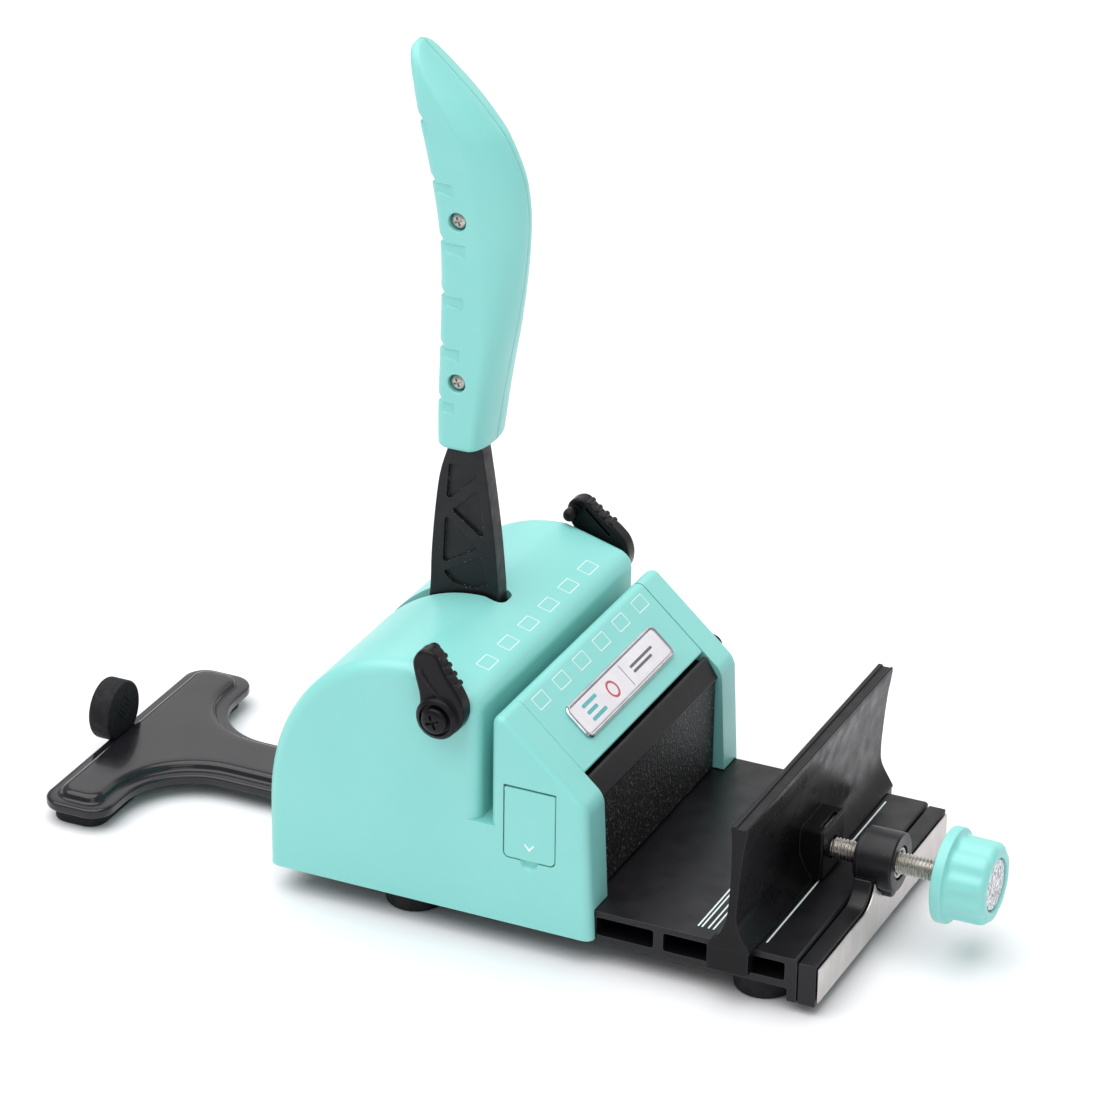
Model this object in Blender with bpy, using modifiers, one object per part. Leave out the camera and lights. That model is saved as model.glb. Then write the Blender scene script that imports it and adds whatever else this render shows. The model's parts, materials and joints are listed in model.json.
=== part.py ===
"""Tabletop punch-and-close press: a hand lever drives six punch pins across a paper slot and pushes a jaw
towards an adjustable fence, which squeezes wire binding loops closed.

Axes: +X runs towards the adjusting knob, +Y across the deck, +Z up. The origin is on the ground, in the
middle of the whole machine. Sizes below are in millimetres, and the helpers turn them into metres.
"""

import math

import bmesh
import bpy
from mathutils import Matrix, Vector

MM = 0.001
GAP = 0.3

# Deck, an extrusion whose cells run across the machine
DECK_HALF_WIDTH = 47.2
DECK_TOP = 16.0
DECK_BOTTOM = 6.9
DECK_REAR = -49.5
DECK_FRONT = 98.0
CELL_BOTTOM = 9.0
CELL_TOP = 14.3
CELLS = ((-46.5, -25.0), (-22.0, -1.0), (2.0, 22.0), (25.0, 38.0), (41.0, 57.4), (60.2, 77.6), (80.2, 94.6))
CELL_OVERRUN = 60.0
FRONT_LEG_REAR, FRONT_LEG_BOTTOM = 95.4, 3.2
FOOT_RADIUS = 8.5
FOOT_STEM = 3.0
FEET = {"rear": -16.9, "front": 85.2}
FOOT_Y = 37.0

# Housing
HALF_WIDTH = 50.2
WALL = 2.5
SKIRT = 7.8
REAR = -55.2
PEAK_X = -13.0
PEAK_Z = 77.2
SHOULDER_Z = 27.0
REAR_CURVE_POWER = 2.1
BACK_STEPS = 12
MOUTH_RADIUS = 5.5
TOP_FALL = 0.27
SLOT_REAR = 7.6
SLOT_FRONT = 11.1
SLOT_FLOOR = 36.0
COVER_X, COVER_Z, COVER_FALL = 17.1, 65.8, 0.89
CREST_RADIUS, NOSE_RADIUS = 2.5, 6.0
NOSE_X = 39.0
TOE_X = 41.3
CHEEK = 39.1
RIM, FRONT_RIM = 3.6, 2.6
BRIDGE_REAR, BRIDGE_FRONT = 2.0, 17.0
COVER_SEAT = 61.5
COVER_END = 33.5
LEVER_SLOT_FRONT = -8.0
LEVER_SLOT_LOW = 29.0
LEVER_SLOT_HALF = 3.9
PIN_WINDOW_HALF = 36.0
PLUG_X, PLUG_Z, PLUG_RADIUS, PLUG_END = 29.8, 46.4, 3.0, 55.0

# Chip door in the right-hand cheek, and the label on the cover
DOOR_LOW, DOOR_HIGH = (15.3, 27.8), (30.0, 48.6)
DOOR_HEEL = 1.5
DOOR_CROWN = 0.5
DOOR_TOP_GAP = 0.7
DOOR_BACK = -48.0
HATCH_X, HATCH_Y, HATCH_Z = 22.65, -49.0, 47.6
LABEL_X = 25.1
LABEL_HALF_SIZE = (5.4, 28.0)
LABEL_THICKNESS = 1.3

# Handle
PIVOT_X, PIVOT_Z = -26.0, 40.0
AXLE_RADIUS = 4.0
SLEEVE_RADIUS = 5.5
LEVER_HALF = 2.8
LEVER_HUB = 9.0
LEVER_FRONT = ((-15.4, 50.0), (-10.2, 63.0), (-9.4, 75.0), (-9.9, 84.0), (-11.2, 96.0), (-14.3, 118.0))
LEVER_REAR = ((-24.9, 118.0), (-27.2, 110.0), (-28.7, 98.0), (-30.0, 75.0), (-31.6, 63.0), (-34.4, 50.0))
POCKET_FLOOR = 1.9
POCKETS = (
    ((-24.3, 113.8), (-25.1, 102.4), (-15.9, 111.6), (-16.4, 113.8)),
    ((-23.4, 100.2), (-15.4, 107.8), (-13.7, 93.2)),
    ((-25.4, 98.6), (-26.1, 83.9), (-15.2, 90.4)),
    ((-26.0, 81.4), (-14.6, 88.3), (-12.4, 79.6), (-17.9, 77.9), (-22.9, 78.7)),
)
TANG_REAR, TANG_FRONT, TANG_TOP = -22.6, -15.2, 200.0
GRIP_HALF = 10.0
GRIP_RIM = 4.2
GRIP_SCREWS = (140.7, 186.2)
GRIP_SCREW_X = -18.8
GRIP_SCREW_HOLE, GRIP_SCREW_HEAD = 2.2, 3.2
GRIP_KNOTS = (
    (-25.2, 124.5),
    (-25.0, 140.0),
    (-24.6, 160.0),
    (-25.0, 180.0),
    (-28.2, 200.0),
    (-32.2, 216.0),
    (-36.4, 226.6),
    (-32.6, 231.0),
    (-24.6, 224.6),
    (-13.4, 212.6),
    (-5.0, 198.6),
    (-2.8, 184.0),
    (-5.6, 158.0),
    (-9.6, 136.0),
    (-11.6, 124.0),
    (-17.0, 120.6),
)
SWING_HALF = math.radians(95.0 / 2)
PUNCH_CAM_RADIUS = 15.0
JAW_CAM_RADIUS = 9.0
CAM_HUB_RADIUS = 8.0
CAM_CLEARANCE = 0.7

# Side frames, punch and jaw
FRAME_INNER, FRAME_OUTER = 44.6, 47.1
GUIDE_ROD_RADIUS = 2.0
PIN_PITCH = 12.7
PIN_COUNT = 6
PIN_Z = 42.0
PIN_WIDTH, PIN_HEIGHT = 6.0, 4.0
PUNCH_TRAVEL = 11.5
JAW_TRAVEL = 20.0
JAW_HALF = 38.6
JAW_BACK, JAW_WALL, JAW_FOOT = 31.2, 36.4, 16.5
JAW_ROOF_LOW, JAW_ROOF_HIGH = 46.3, 48.6
CARRIER_FRONT, CARRIER_HALF = -10.5, 36.0
CARRIER_LOW, CARRIER_HIGH = 24.5, 48.0

# Fence, screw and knob
FENCE_HALF = 51.0
FENCE_TOP = 53.0
SCREW_Z = 23.4
SCREW_RADIUS, SCREW_NECK = 3.0, 2.0
CLIP_REAR, CLIP_FRONT = 86.9, 87.7
INSERT_RADIUS = 4.5
BOSS_RADIUS = 8.2
PLATE_FACE = 103.2
FLANGE_X = 120.6
FLANGE_RADIUS = 13.1
KNOB_X, KNOB_RADIUS, KNOB_END = 122.0, 11.4, 135.0
FLUTES, FLUTE_DEPTH = 10, 0.35
CAP_RECESS = 7.3

# Stabiliser behind the housing
BAR_REAR, BAR_FRONT = -130.0, -109.5
BAR_HALF = 45.3
ARM_HALF = 12.5
PLATE_LOW, PLATE_HIGH, PLATE_CROWN = 4.2, 7.0, 9.2
ARM_SCREW_X, ARM_SCREW_Y = -34.0, 7.0
ARM_SCREW_SHANK, ARM_SCREW_HOLE = 1.8, 2.1
REST_Z, REST_RADIUS, REST_FRONT = 13.6, 8.9, -128.0

# Side levers
GUIDE_X, GUIDE_Z = -1.5, 67.4
GUIDE_HOLE, GUIDE_SHANK = 2.3, 1.9
GUIDE_LEAN = {"right": 0.0, "left": 22.0}
FINGER_X, FINGER_Z, FINGER_RADIUS, FINGER_END = -6.4, 82.6, 1.9, 46.0
GUIDE_KNOTS = (
    (-6.9, 66.4),
    (-5.3, 63.7),
    (-1.2, 61.9),
    (2.7, 63.2),
    (5.3, 66.6),
    (5.7, 71.0),
    (4.0, 75.0),
    (1.0, 79.2),
    (-0.8, 82.4),
    (-2.2, 85.0),
    (-4.4, 85.9),
    (-7.2, 85.2),
    (-8.9, 82.2),
    (-8.4, 78.2),
    (-7.0, 72.4),
)

SIDES = ((-1, "right"), (1, "left"))

PLANES = {
    "XY": Matrix(((1, 0, 0), (0, 1, 0), (0, 0, 1))),
    "XZ": Matrix(((1, 0, 0), (0, 0, -1), (0, 1, 0))),
    "YZ": Matrix(((0, 0, 1), (1, 0, 0), (0, 1, 0))),
}
ACROSS = {"XY": Vector((0, 0, 1)), "XZ": Vector((0, 1, 0)), "YZ": Vector((1, 0, 0))}


def clear_scene():
    for item in list(bpy.data.objects):
        bpy.data.objects.remove(item, do_unlink=True)


def new_collection(name):
    collection = bpy.data.collections.new(name)
    bpy.context.scene.collection.children.link(collection)
    return collection


def new_material(name, colour, roughness, metallic):
    material = bpy.data.materials.new(name)
    material.use_nodes = True
    shader = material.node_tree.nodes["Principled BSDF"]
    shader.inputs["Base Color"].default_value = (*colour, 1.0)
    shader.inputs["Roughness"].default_value = roughness
    shader.inputs["Metallic"].default_value = metallic
    return material


# ---------------------------------------------------------------- outlines

def arc(x, z, radius, start, end, steps):
    """Points along an arc, from start to end in degrees."""
    return [
        (
            x + radius * math.cos(math.radians(start + (end - start) * i / steps)),
            z + radius * math.sin(math.radians(start + (end - start) * i / steps)),
        )
        for i in range(steps + 1)
    ]


def rounded(corners, steps=4):
    """An outline of (x, z, radius) corners with each corner filleted by its own radius."""
    points = []
    count = len(corners)
    for i, (x, z, radius) in enumerate(corners):
        here = Vector((x, z))
        if radius <= 0:
            points.append((x, z))
            continue
        back = (Vector(corners[i - 1][:2]) - here).normalized()
        ahead = (Vector(corners[(i + 1) % count][:2]) - here).normalized()
        half = back.angle(ahead) / 2
        centre = here + (back + ahead).normalized() * (radius / math.sin(half))
        first = here + back * (radius / math.tan(half)) - centre
        turn = first.angle_signed(here + ahead * (radius / math.tan(half)) - centre)
        for step in range(steps + 1):
            spoke = Matrix.Rotation(-turn * step / steps, 2) @ first
            points.append(tuple(centre + spoke))
    return points


def rectangle(low, high, radius=0.0, steps=4):
    corners = [(low[0], low[1]), (high[0], low[1]), (high[0], high[1]), (low[0], high[1])]
    return rounded([(x, z, radius) for x, z in corners], steps)


def smooth_outline(knots, steps=6):
    """A closed Catmull-Rom curve through the knots."""
    count = len(knots)
    points = []
    for i in range(count):
        a, b, c, d = (Vector(knots[(i + k - 1) % count]) for k in range(4))
        for step in range(steps):
            t = step / steps
            spot = 0.5 * (
                2 * b + (c - a) * t + (2 * a - 5 * b + 4 * c - d) * t**2 + (3 * b - a - 3 * c + d) * t**3
            )
            points.append(tuple(spot))
    return points


# ---------------------------------------------------------------- solids

def link(name, mesh, material, origin=(0, 0, 0), collection=None):
    """An object whose mesh is drawn in the machine's frame, moved so that its origin lies at the given point."""
    origin = Vector(origin) * MM
    mesh.transform(Matrix.Translation(-origin))
    obj = bpy.data.objects.new(name, mesh)
    obj.location = origin
    (collection or parts).objects.link(obj)
    if material:
        mesh.materials.append(material)
    mesh.shade_smooth()
    mesh.set_sharp_from_angle(angle=math.radians(32))
    return obj


def prism_mesh(outline, plane, low, high):
    """A filled 2D curve, extruded from low to high across its plane."""
    curve = bpy.data.curves.new("outline", "CURVE")
    curve.dimensions = "2D"
    curve.fill_mode = "BOTH"
    curve.extrude = (high - low) / 2 * MM
    spline = curve.splines.new("POLY")
    spline.points.add(len(outline) - 1)
    for point, (u, v) in zip(spline.points, outline):
        point.co = (u * MM, v * MM, 0.0, 1.0)
    spline.use_cyclic_u = True
    obj = bpy.data.objects.new("outline", curve)
    bpy.context.scene.collection.objects.link(obj)
    graph = bpy.context.evaluated_depsgraph_get()
    mesh = bpy.data.meshes.new_from_object(obj.evaluated_get(graph))
    bpy.data.objects.remove(obj, do_unlink=True)
    middle = ACROSS[plane] * (low + high) / 2 * MM
    mesh.transform(Matrix.Translation(middle) @ PLANES[plane].to_4x4())
    tidy(mesh)
    return mesh


def tidy(mesh):
    shape = bmesh.new()
    shape.from_mesh(mesh)
    bmesh.ops.remove_doubles(shape, verts=shape.verts, dist=1e-6)
    bmesh.ops.recalc_face_normals(shape, faces=shape.faces)
    shape.to_mesh(mesh)
    shape.free()


def prism(name, outline, plane, low, high, material, origin=(0, 0, 0)):
    return link(name, prism_mesh(outline, plane, low, high), material, origin)


def block_mesh(low, high):
    low, high = Vector(low) * MM, Vector(high) * MM
    shape = bmesh.new()
    size = Matrix.Diagonal((*(high - low), 1.0))
    bmesh.ops.create_cube(shape, size=1.0, matrix=Matrix.Translation((low + high) / 2) @ size)
    mesh = bpy.data.meshes.new("block")
    shape.to_mesh(mesh)
    shape.free()
    return mesh


def block(name, low, high, material, origin=(0, 0, 0)):
    return link(name, block_mesh(low, high), material, origin)


def rod_mesh(centre, radius, axis, low, high, sides=24, radius_high=None):
    """A cylinder or cone along an axis, between two positions on it. The centre gives its other two."""
    shape = bmesh.new()
    turn = Matrix()
    if axis != "Z":
        turn = Matrix.Rotation(math.pi / 2 if axis == "X" else -math.pi / 2, 4, "Y" if axis == "X" else "X")
    spot = list(centre)
    spot["XYZ".index(axis)] = (low + high) / 2
    bmesh.ops.create_cone(
        shape,
        cap_ends=True,
        segments=sides,
        radius1=radius * MM,
        radius2=(radius if radius_high is None else radius_high) * MM,
        depth=(high - low) * MM,
        matrix=Matrix.Translation(Vector(spot) * MM) @ turn,
    )
    mesh = bpy.data.meshes.new("rod")
    shape.to_mesh(mesh)
    shape.free()
    return mesh


def rod(name, centre, radius, axis, low, high, material, origin=(0, 0, 0), sides=24):
    return link(name, rod_mesh(centre, radius, axis, low, high, sides), material, origin)


def bevel(obj, width, segments=2, angle=40):
    modifier = obj.modifiers.new("bevel", "BEVEL")
    modifier.width = width * MM
    modifier.segments = segments
    modifier.limit_method = "ANGLE"
    modifier.angle_limit = math.radians(angle)
    modifier.use_clamp_overlap = True
    return obj


def flatten_faces(obj):
    """Bevels leave corner faces that aren't flat, so such an object is split into triangles before a Boolean."""
    if obj.modifiers and obj.modifiers[-1].type == "BEVEL":
        obj.modifiers.new("flat_faces", "TRIANGULATE")


def combine(obj, operation, meshes, solver):
    """Cuts shapes from the object or joins them to it. Each becomes a hidden helper."""
    flatten_faces(obj)
    for mesh in meshes:
        helper = mesh if isinstance(mesh, bpy.types.Object) else link(obj.name + "_tool", mesh, None)
        flatten_faces(helper)
        for holder in list(helper.users_collection):
            holder.objects.unlink(helper)
        cutters.objects.link(helper)
        helper.hide_render = True
        helper.display_type = "WIRE"
        modifier = obj.modifiers.new(operation.lower(), "BOOLEAN")
        modifier.operation = operation
        modifier.object = helper
        modifier.solver = solver
    return obj


def cut(obj, *meshes, solver="EXACT"):
    return combine(obj, "DIFFERENCE", meshes, solver)


def join(obj, *meshes, solver="EXACT"):
    return combine(obj, "UNION", meshes, solver)


# ---------------------------------------------------------------- base

def make_base():
    corner = 0.8
    outer = [
        (DECK_REAR, DECK_BOTTOM),
        (FRONT_LEG_REAR, DECK_BOTTOM),
        (FRONT_LEG_REAR, FRONT_LEG_BOTTOM),
        (DECK_FRONT, FRONT_LEG_BOTTOM),
        (DECK_FRONT, DECK_TOP - corner),
        (DECK_FRONT - corner, DECK_TOP),
        (DECK_REAR, DECK_TOP),
    ]
    deck = prism("base_deck", outer, "XZ", -DECK_HALF_WIDTH, DECK_HALF_WIDTH, black_metal)
    low, high = DECK_BOTTOM - 0.9, CELL_BOTTOM + 0.5
    for start, end in CELLS:
        cut(deck, block_mesh((start, -CELL_OVERRUN, CELL_BOTTOM), (end, CELL_OVERRUN, CELL_TOP)))
    for side, _ in SIDES:
        for x in FEET.values():
            cut(deck, rod_mesh((x, side * FOOT_Y, 0), FOOT_STEM + GAP, "Z", low, high, 16))
        cut(deck, rod_mesh((ARM_SCREW_X, side * ARM_SCREW_Y, 0), ARM_SCREW_HOLE, "Z", low, high, 12))
    for end, x in FEET.items():
        for side, word in SIDES:
            centre = (x, side * FOOT_Y, 0)
            foot = rod(f"foot_{end}_{word}", centre, FOOT_RADIUS, "Z", 0.0, DECK_BOTTOM - GAP, rubber)
            bevel(foot, 0.8, 1)
            join(foot, rod_mesh(centre, FOOT_STEM, "Z", 3.0, CELL_BOTTOM - GAP, 16))


def hump_outline(edge, base, top, margin):
    """The end plate's outline: a long bar with a hump in the middle that flows up to the screw boss."""
    reach, radius = 16.0 - margin, 7.0 + margin
    right = [(edge, base), (edge, top)]
    fillet = arc(reach, top + radius, radius, 270, 190, 6)
    return right + fillet + [(-y, z) for y, z in reversed(fillet)] + [(-edge, top), (-edge, base)]


def make_end_plate():
    axis = (0, 0, SCREW_Z)
    rear = DECK_FRONT + GAP
    plate = prism("end_plate", hump_outline(DECK_HALF_WIDTH, 3.0, 15.2, 0.0), "YZ", rear, PLATE_FACE, black_metal)
    join(plate, rod_mesh(axis, BOSS_RADIUS, "X", rear + 0.2, 108.0, 32))
    join(plate, rod_mesh(axis, 7.0, "X", 96.8, 100.0, 32))
    cut(plate, rod_mesh(axis, INSERT_RADIUS + GAP, "X", 95.0, 110.0))
    insert = rod("thread_insert", axis, INSERT_RADIUS, "X", 97.1, 107.7, zinc)
    cut(insert, rod_mesh(axis, SCREW_RADIUS + GAP, "X", 95.0, 110.0))
    low = PLATE_FACE + GAP
    strip = prism("end_strip", hump_outline(46.4, 4.2, 14.2, 0.8), "YZ", low, low + 0.5, brushed)
    cut(strip, rod_mesh(axis, BOSS_RADIUS + 0.4, "X", low - 0.5, low + 1.0, 32))


def stabiliser_outline(inset):
    """A T: an arm that comes out of the housing and a cross bar, joined by wide concave fillets."""
    half, arm, inner = BAR_HALF - inset, ARM_HALF - inset, 20.0 + inset
    corner = 6.5 - inset * 0.6
    upper = rounded(
        [(REAR - 2.0, arm, 0), (BAR_FRONT - inset, arm, inner), (BAR_FRONT - inset, half, corner)]
        + [(BAR_REAR + inset, half, corner), (BAR_REAR + inset, 0.0, 0)],
        5,
    )
    return upper[:-1] + [(x, -y) for x, y in reversed(upper[:-1])]


def make_stabiliser():
    """A pressed plate with a raised crown, screwed under the deck by a tongue."""
    plate = prism("stabiliser_arm", stabiliser_outline(0.0), "XY", PLATE_LOW, PLATE_HIGH, black_gloss)
    bevel(plate, 0.7, 1)
    crown = link("stabiliser_crown", prism_mesh(stabiliser_outline(3.6), "XY", PLATE_LOW + 0.5, PLATE_CROWN), None)
    bevel(crown, 1.8, 1)
    tongue_half = ARM_HALF - 0.8
    tongue_low = (REAR - 4.0, -tongue_half, PLATE_LOW - 0.4)
    tongue = block_mesh(tongue_low, (-27.0, tongue_half, DECK_BOTTOM - GAP))
    join(plate, crown, tongue, solver="MANIFOLD")
    pad_low, pad_high = (BAR_REAR + 2.0, -BAR_HALF + 2.5), (BAR_FRONT - 3.0, BAR_HALF - 2.5)
    prism("stabiliser_pad", rectangle(pad_low, pad_high, 5.0), "XY", 0.0, PLATE_LOW - GAP, rubber)
    for side, word in SIDES:
        centre = (ARM_SCREW_X, side * ARM_SCREW_Y, 0)
        cut(plate, rod_mesh(centre, ARM_SCREW_HOLE, "Z", 0.0, 12.0, 12), solver="MANIFOLD")
        screw = rod(f"arm_screw_{word}", centre, 3.4, "Z", 1.7, PLATE_LOW - 0.7, zinc, sides=16)
        join(screw, rod_mesh(centre, ARM_SCREW_SHANK, "Z", 3.0, 10.5, 12))
    make_rest_knob()


def make_rest_knob():
    """A round rubber bumper over the bar's rear edge, which catches the grip when the lever is down."""
    disc = rod("rest_knob", (0, 0, REST_Z), REST_RADIUS, "X", -KNOB_END, REST_FRONT, rubber, sides=32)
    bevel(disc, 1.2, 2)
    cut(disc, block_mesh((BAR_REAR - GAP, -BAR_HALF, 0.0), (REST_FRONT + 2.0, BAR_HALF, PLATE_HIGH + GAP)))
    notch_inner, notch_outer, notch_top = 8.2, 12.6, 10.6
    for side, _ in SIDES:
        near, far = sorted((side * notch_inner, side * notch_outer))
        cut(disc, block_mesh((-KNOB_END - 2.0, near, 3.0), (REST_FRONT + 2.0, far, notch_top)))


# ---------------------------------------------------------------- housing

def top_height(x):
    return PEAK_Z - TOP_FALL * (x - PEAK_X)


def cover_height(x):
    return COVER_Z - COVER_FALL * (x - COVER_X)


def rear_body_outline(inset, foot):
    """Side view of the part behind the paper slot: a superellipse back that meets a gently falling top."""
    across, up = PEAK_X - REAR - inset, PEAK_Z - SHOULDER_Z - inset
    back = []
    for i in range(BACK_STEPS + 1):
        angle = math.pi / 2 * i / BACK_STEPS
        x = PEAK_X - across * math.cos(angle) ** (2 / REAR_CURVE_POWER)
        z = SHOULDER_Z + up * math.sin(angle) ** (2 / REAR_CURVE_POWER)
        back.append((x, z, 0))
    front = SLOT_REAR - inset
    mouth = (front, top_height(SLOT_REAR) - inset, MOUTH_RADIUS - inset)
    return rounded([(REAR + inset, foot, 0)] + back + [mouth, (front, foot, 0)], 5)


def front_body_outline(inset, foot):
    """Side view of the part in front of the paper slot, with its sloping top."""
    slope = math.hypot(1, COVER_FALL) * inset
    rear, nose = SLOT_FRONT + inset, NOSE_X - inset
    return rounded(
        [
            (rear, foot, 0),
            (rear, cover_height(rear) - slope, max(CREST_RADIUS - inset, 0.8)),
            (nose, cover_height(nose) - slope, NOSE_RADIUS - inset),
            (TOE_X - inset, foot, 0),
        ],
        5,
    )


def make_housing():
    """The shell round the works. Its rims are bevelled, so its parts are joined and cut as closed volumes."""
    shell = prism("main_housing", rear_body_outline(0.0, 0.0), "XZ", -HALF_WIDTH, HALF_WIDTH, mint)
    bevel(shell, RIM, 3, 50)
    front = link("housing_front", prism_mesh(front_body_outline(0.0, 0.0), "XZ", -HALF_WIDTH, HALF_WIDTH), None)
    bevel(front, FRONT_RIM, 3, 50)
    bridge = block_mesh((BRIDGE_REAR, -HALF_WIDTH, SKIRT), (BRIDGE_FRONT, HALF_WIDTH, SLOT_FLOOR))
    join(shell, front, bridge, solver="MANIFOLD")
    inner = HALF_WIDTH - WALL
    far = 70.0
    seat_half = DECK_HALF_WIDTH + GAP
    door_half = ARM_HALF + 1.0
    room_front = SLOT_FRONT + WALL
    window_low, window_high = PIN_Z - PIN_HEIGHT / 2 - 1.2, PIN_Z + PIN_HEIGHT / 2 + 1.2
    cut(
        shell,
        block_mesh((-far, -far, -5.0), (far, far, SKIRT)),
        prism_mesh(rear_body_outline(WALL, -2.0), "XZ", -inner, inner),
        block_mesh((SLOT_REAR - WALL - 0.5, -inner, 0.0), (room_front + 0.5, inner, SLOT_FLOOR - WALL)),
        prism_mesh(front_body_outline(WALL, -2.0), "XZ", -inner, -CHEEK - WALL),
        prism_mesh(front_body_outline(WALL, -2.0), "XZ", CHEEK + WALL, inner),
        block_mesh((room_front, -CHEEK, 0.0), (far, CHEEK, 90.0)),
        block_mesh((SLOT_FRONT - 1.0, -CHEEK, COVER_SEAT), (far, CHEEK, 90.0)),
        block_mesh((DECK_REAR - 0.4, -seat_half, 0.0), (far, seat_half, DECK_TOP + GAP)),
        block_mesh((-far, -LEVER_SLOT_HALF, LEVER_SLOT_LOW), (LEVER_SLOT_FRONT, LEVER_SLOT_HALF, 90.0)),
        block_mesh((REAR - 3.0, -door_half, 0.0), (REAR + 6.0, door_half, 12.0)),
        block_mesh((4.0, -PIN_WINDOW_HALF, window_low), (15.0, PIN_WINDOW_HALF, window_high)),
        solver="MANIFOLD",
    )
    cut_hatch_opening(shell)
    for side, _ in SIDES:
        near, end = sorted((side * 46.0, side * 52.0))
        cut(shell, rod_mesh((GUIDE_X, 0, GUIDE_Z), GUIDE_HOLE, "Y", near, end, 16), solver="MANIFOLD")
    make_cover()
    make_label()
    make_hatch()
    centre = (PLUG_X, 0, PLUG_Z)
    plug = rod("cheek_plug", centre, PLUG_RADIUS, "Y", HALF_WIDTH + GAP, PLUG_END, black_plastic, sides=20)
    bevel(plug, 0.9, 2)


def door_outline(margin, top_margin):
    """The chip door's outline, grown by a margin: its top corners are nearly square, the bottom ones round."""
    (low_x, low_z), (high_x, high_z) = DOOR_LOW, DOOR_HIGH
    heel, crown = DOOR_HEEL + margin, DOOR_CROWN - margin
    return rounded(
        [
            (low_x - margin, low_z - margin, heel),
            (high_x + margin, low_z - margin, heel),
            (high_x + margin, high_z + top_margin, crown),
            (low_x - margin, high_z + top_margin, crown),
        ]
    )


def cut_hatch_opening(shell):
    """The door's recess, the chip passage behind it, a thumb notch under it and the holes for its pivots."""
    outside, inside = -HALF_WIDTH - 1.0, -HALF_WIDTH + WALL + 0.5
    cut(
        shell,
        prism_mesh(door_outline(GAP, DOOR_TOP_GAP), "XZ", outside, inside),
        block_mesh((16.5, -CHEEK - WALL - 1.0, 29.0), (28.5, -CHEEK + 1.0, 45.0)),
        rod_mesh((HATCH_X, 0, DOOR_LOW[1]), 2.7, "Y", outside, -HALF_WIDTH + 1.2, 20),
        rod_mesh((0, HATCH_Y, HATCH_Z), 1.0, "X", 13.8, 31.5, 12),
        solver="MANIFOLD",
    )


def make_hatch():
    """The chip door, hung on two stub pivots just under its top edge."""
    hinge = (HATCH_X, HATCH_Y, HATCH_Z)
    door = prism("hatch_door", door_outline(0.0, 0.0), "XZ", -HALF_WIDTH, DOOR_BACK, mint, hinge)
    bevel(door, 0.35, 1)
    join(door, rod_mesh(hinge, 0.65, "X", 14.1, 31.2, 12))


def make_cover():
    """The sloping panel between the cheeks, with a lip that turns down behind the die."""
    fall = math.hypot(1, COVER_FALL)
    along = Vector((1, -COVER_FALL)) / fall
    down = Vector((-COVER_FALL, -1)) / fall
    start = Vector((SLOT_FRONT, cover_height(SLOT_FRONT)))
    end = Vector((COVER_END, cover_height(COVER_END)))
    under_end = end + down * WALL
    lip = SLOT_FRONT + WALL
    under_start = under_end - along * ((under_end.x - lip) / along.x)
    outline = rounded(
        [
            (*start, CREST_RADIUS),
            (*end, 0.6),
            (*under_end, 0),
            (*under_start, 0),
            (lip, COVER_SEAT + GAP, 0),
            (SLOT_FRONT, COVER_SEAT + GAP, 0),
        ],
        5,
    )
    cover = prism("front_cover", outline, "XZ", -CHEEK + GAP, CHEEK - GAP, mint)
    bevel(cover, 0.35, 1)


def make_label():
    """A plain raised plate on the cover."""
    low = tuple(-half for half in LABEL_HALF_SIZE)
    label = prism("label_plate", rectangle(low, LABEL_HALF_SIZE, 2.2), "XY", 0.0, LABEL_THICKNESS, silver)
    bevel(label, 0.5, 2)
    tilt = math.atan(COVER_FALL)
    label.rotation_euler = (0, tilt, 0)
    lift = Vector((math.sin(tilt), 0, math.cos(tilt))) * GAP
    label.location = (Vector((LABEL_X, 0, cover_height(LABEL_X))) + lift) * MM


# ---------------------------------------------------------------- inside

def make_frames():
    """The works between the cheeks: two side frames with their ties, punching plates, guides and chip tray."""
    outline = rounded(
        [(-46.0, 16.6, 2), (2.5, 16.6, 2), (2.5, 60.0, 4)]
        + [(-8.0, 64.0, 4), (-31.0, 60.0, 8), (-46.0, 42.0, 8)],
        3,
    )
    pivot = (PIVOT_X, 0, PIVOT_Z)
    for side, word in SIDES:
        near, far = sorted((side * FRAME_INNER, side * FRAME_OUTER))
        frame = prism(f"side_frame_{word}", outline, "XZ", near, far, zinc)
        cut(frame, rod_mesh(pivot, AXLE_RADIUS + GAP, "Y", near - 1, far + 1))
        centre = (0, side * PIN_PITCH, PIN_Z)
        rod(f"guide_rod_{word}", centre, GUIDE_ROD_RADIUS, "X", -13.8, 1.5, steel, sides=16)
    rod("tie_bar", (-4.0, 0, 56.0), 2.8, "Y", -FRAME_INNER + GAP, FRAME_INNER - GAP, zinc, sides=16)
    rod("pivot_axle", pivot, AXLE_RADIUS, "Y", -FRAME_OUTER - 0.2, FRAME_OUTER + 0.2, steel)
    stripper = block("stripper_plate", (1.8, -37.0, 37.0), (SLOT_REAR - WALL - GAP, 37.0, 49.0), steel)
    die = block("die_plate", (SLOT_FRONT + WALL + GAP, -38.5, 37.0), (18.9, 38.5, 45.6), steel)
    for y in pin_places():
        low = (0.0, y - PIN_WIDTH / 2 - GAP, PIN_Z - PIN_HEIGHT / 2 - GAP)
        high = (20.0, y + PIN_WIDTH / 2 + GAP, PIN_Z + PIN_HEIGHT / 2 + GAP)
        cut(stripper, block_mesh(low, high))
        cut(die, block_mesh(low, high))
    block("chip_tray", (14.0, -CHEEK + 0.5, 24.6), (30.6, CHEEK - 0.5, 26.0), black_plastic)
    make_return_spring()


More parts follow.
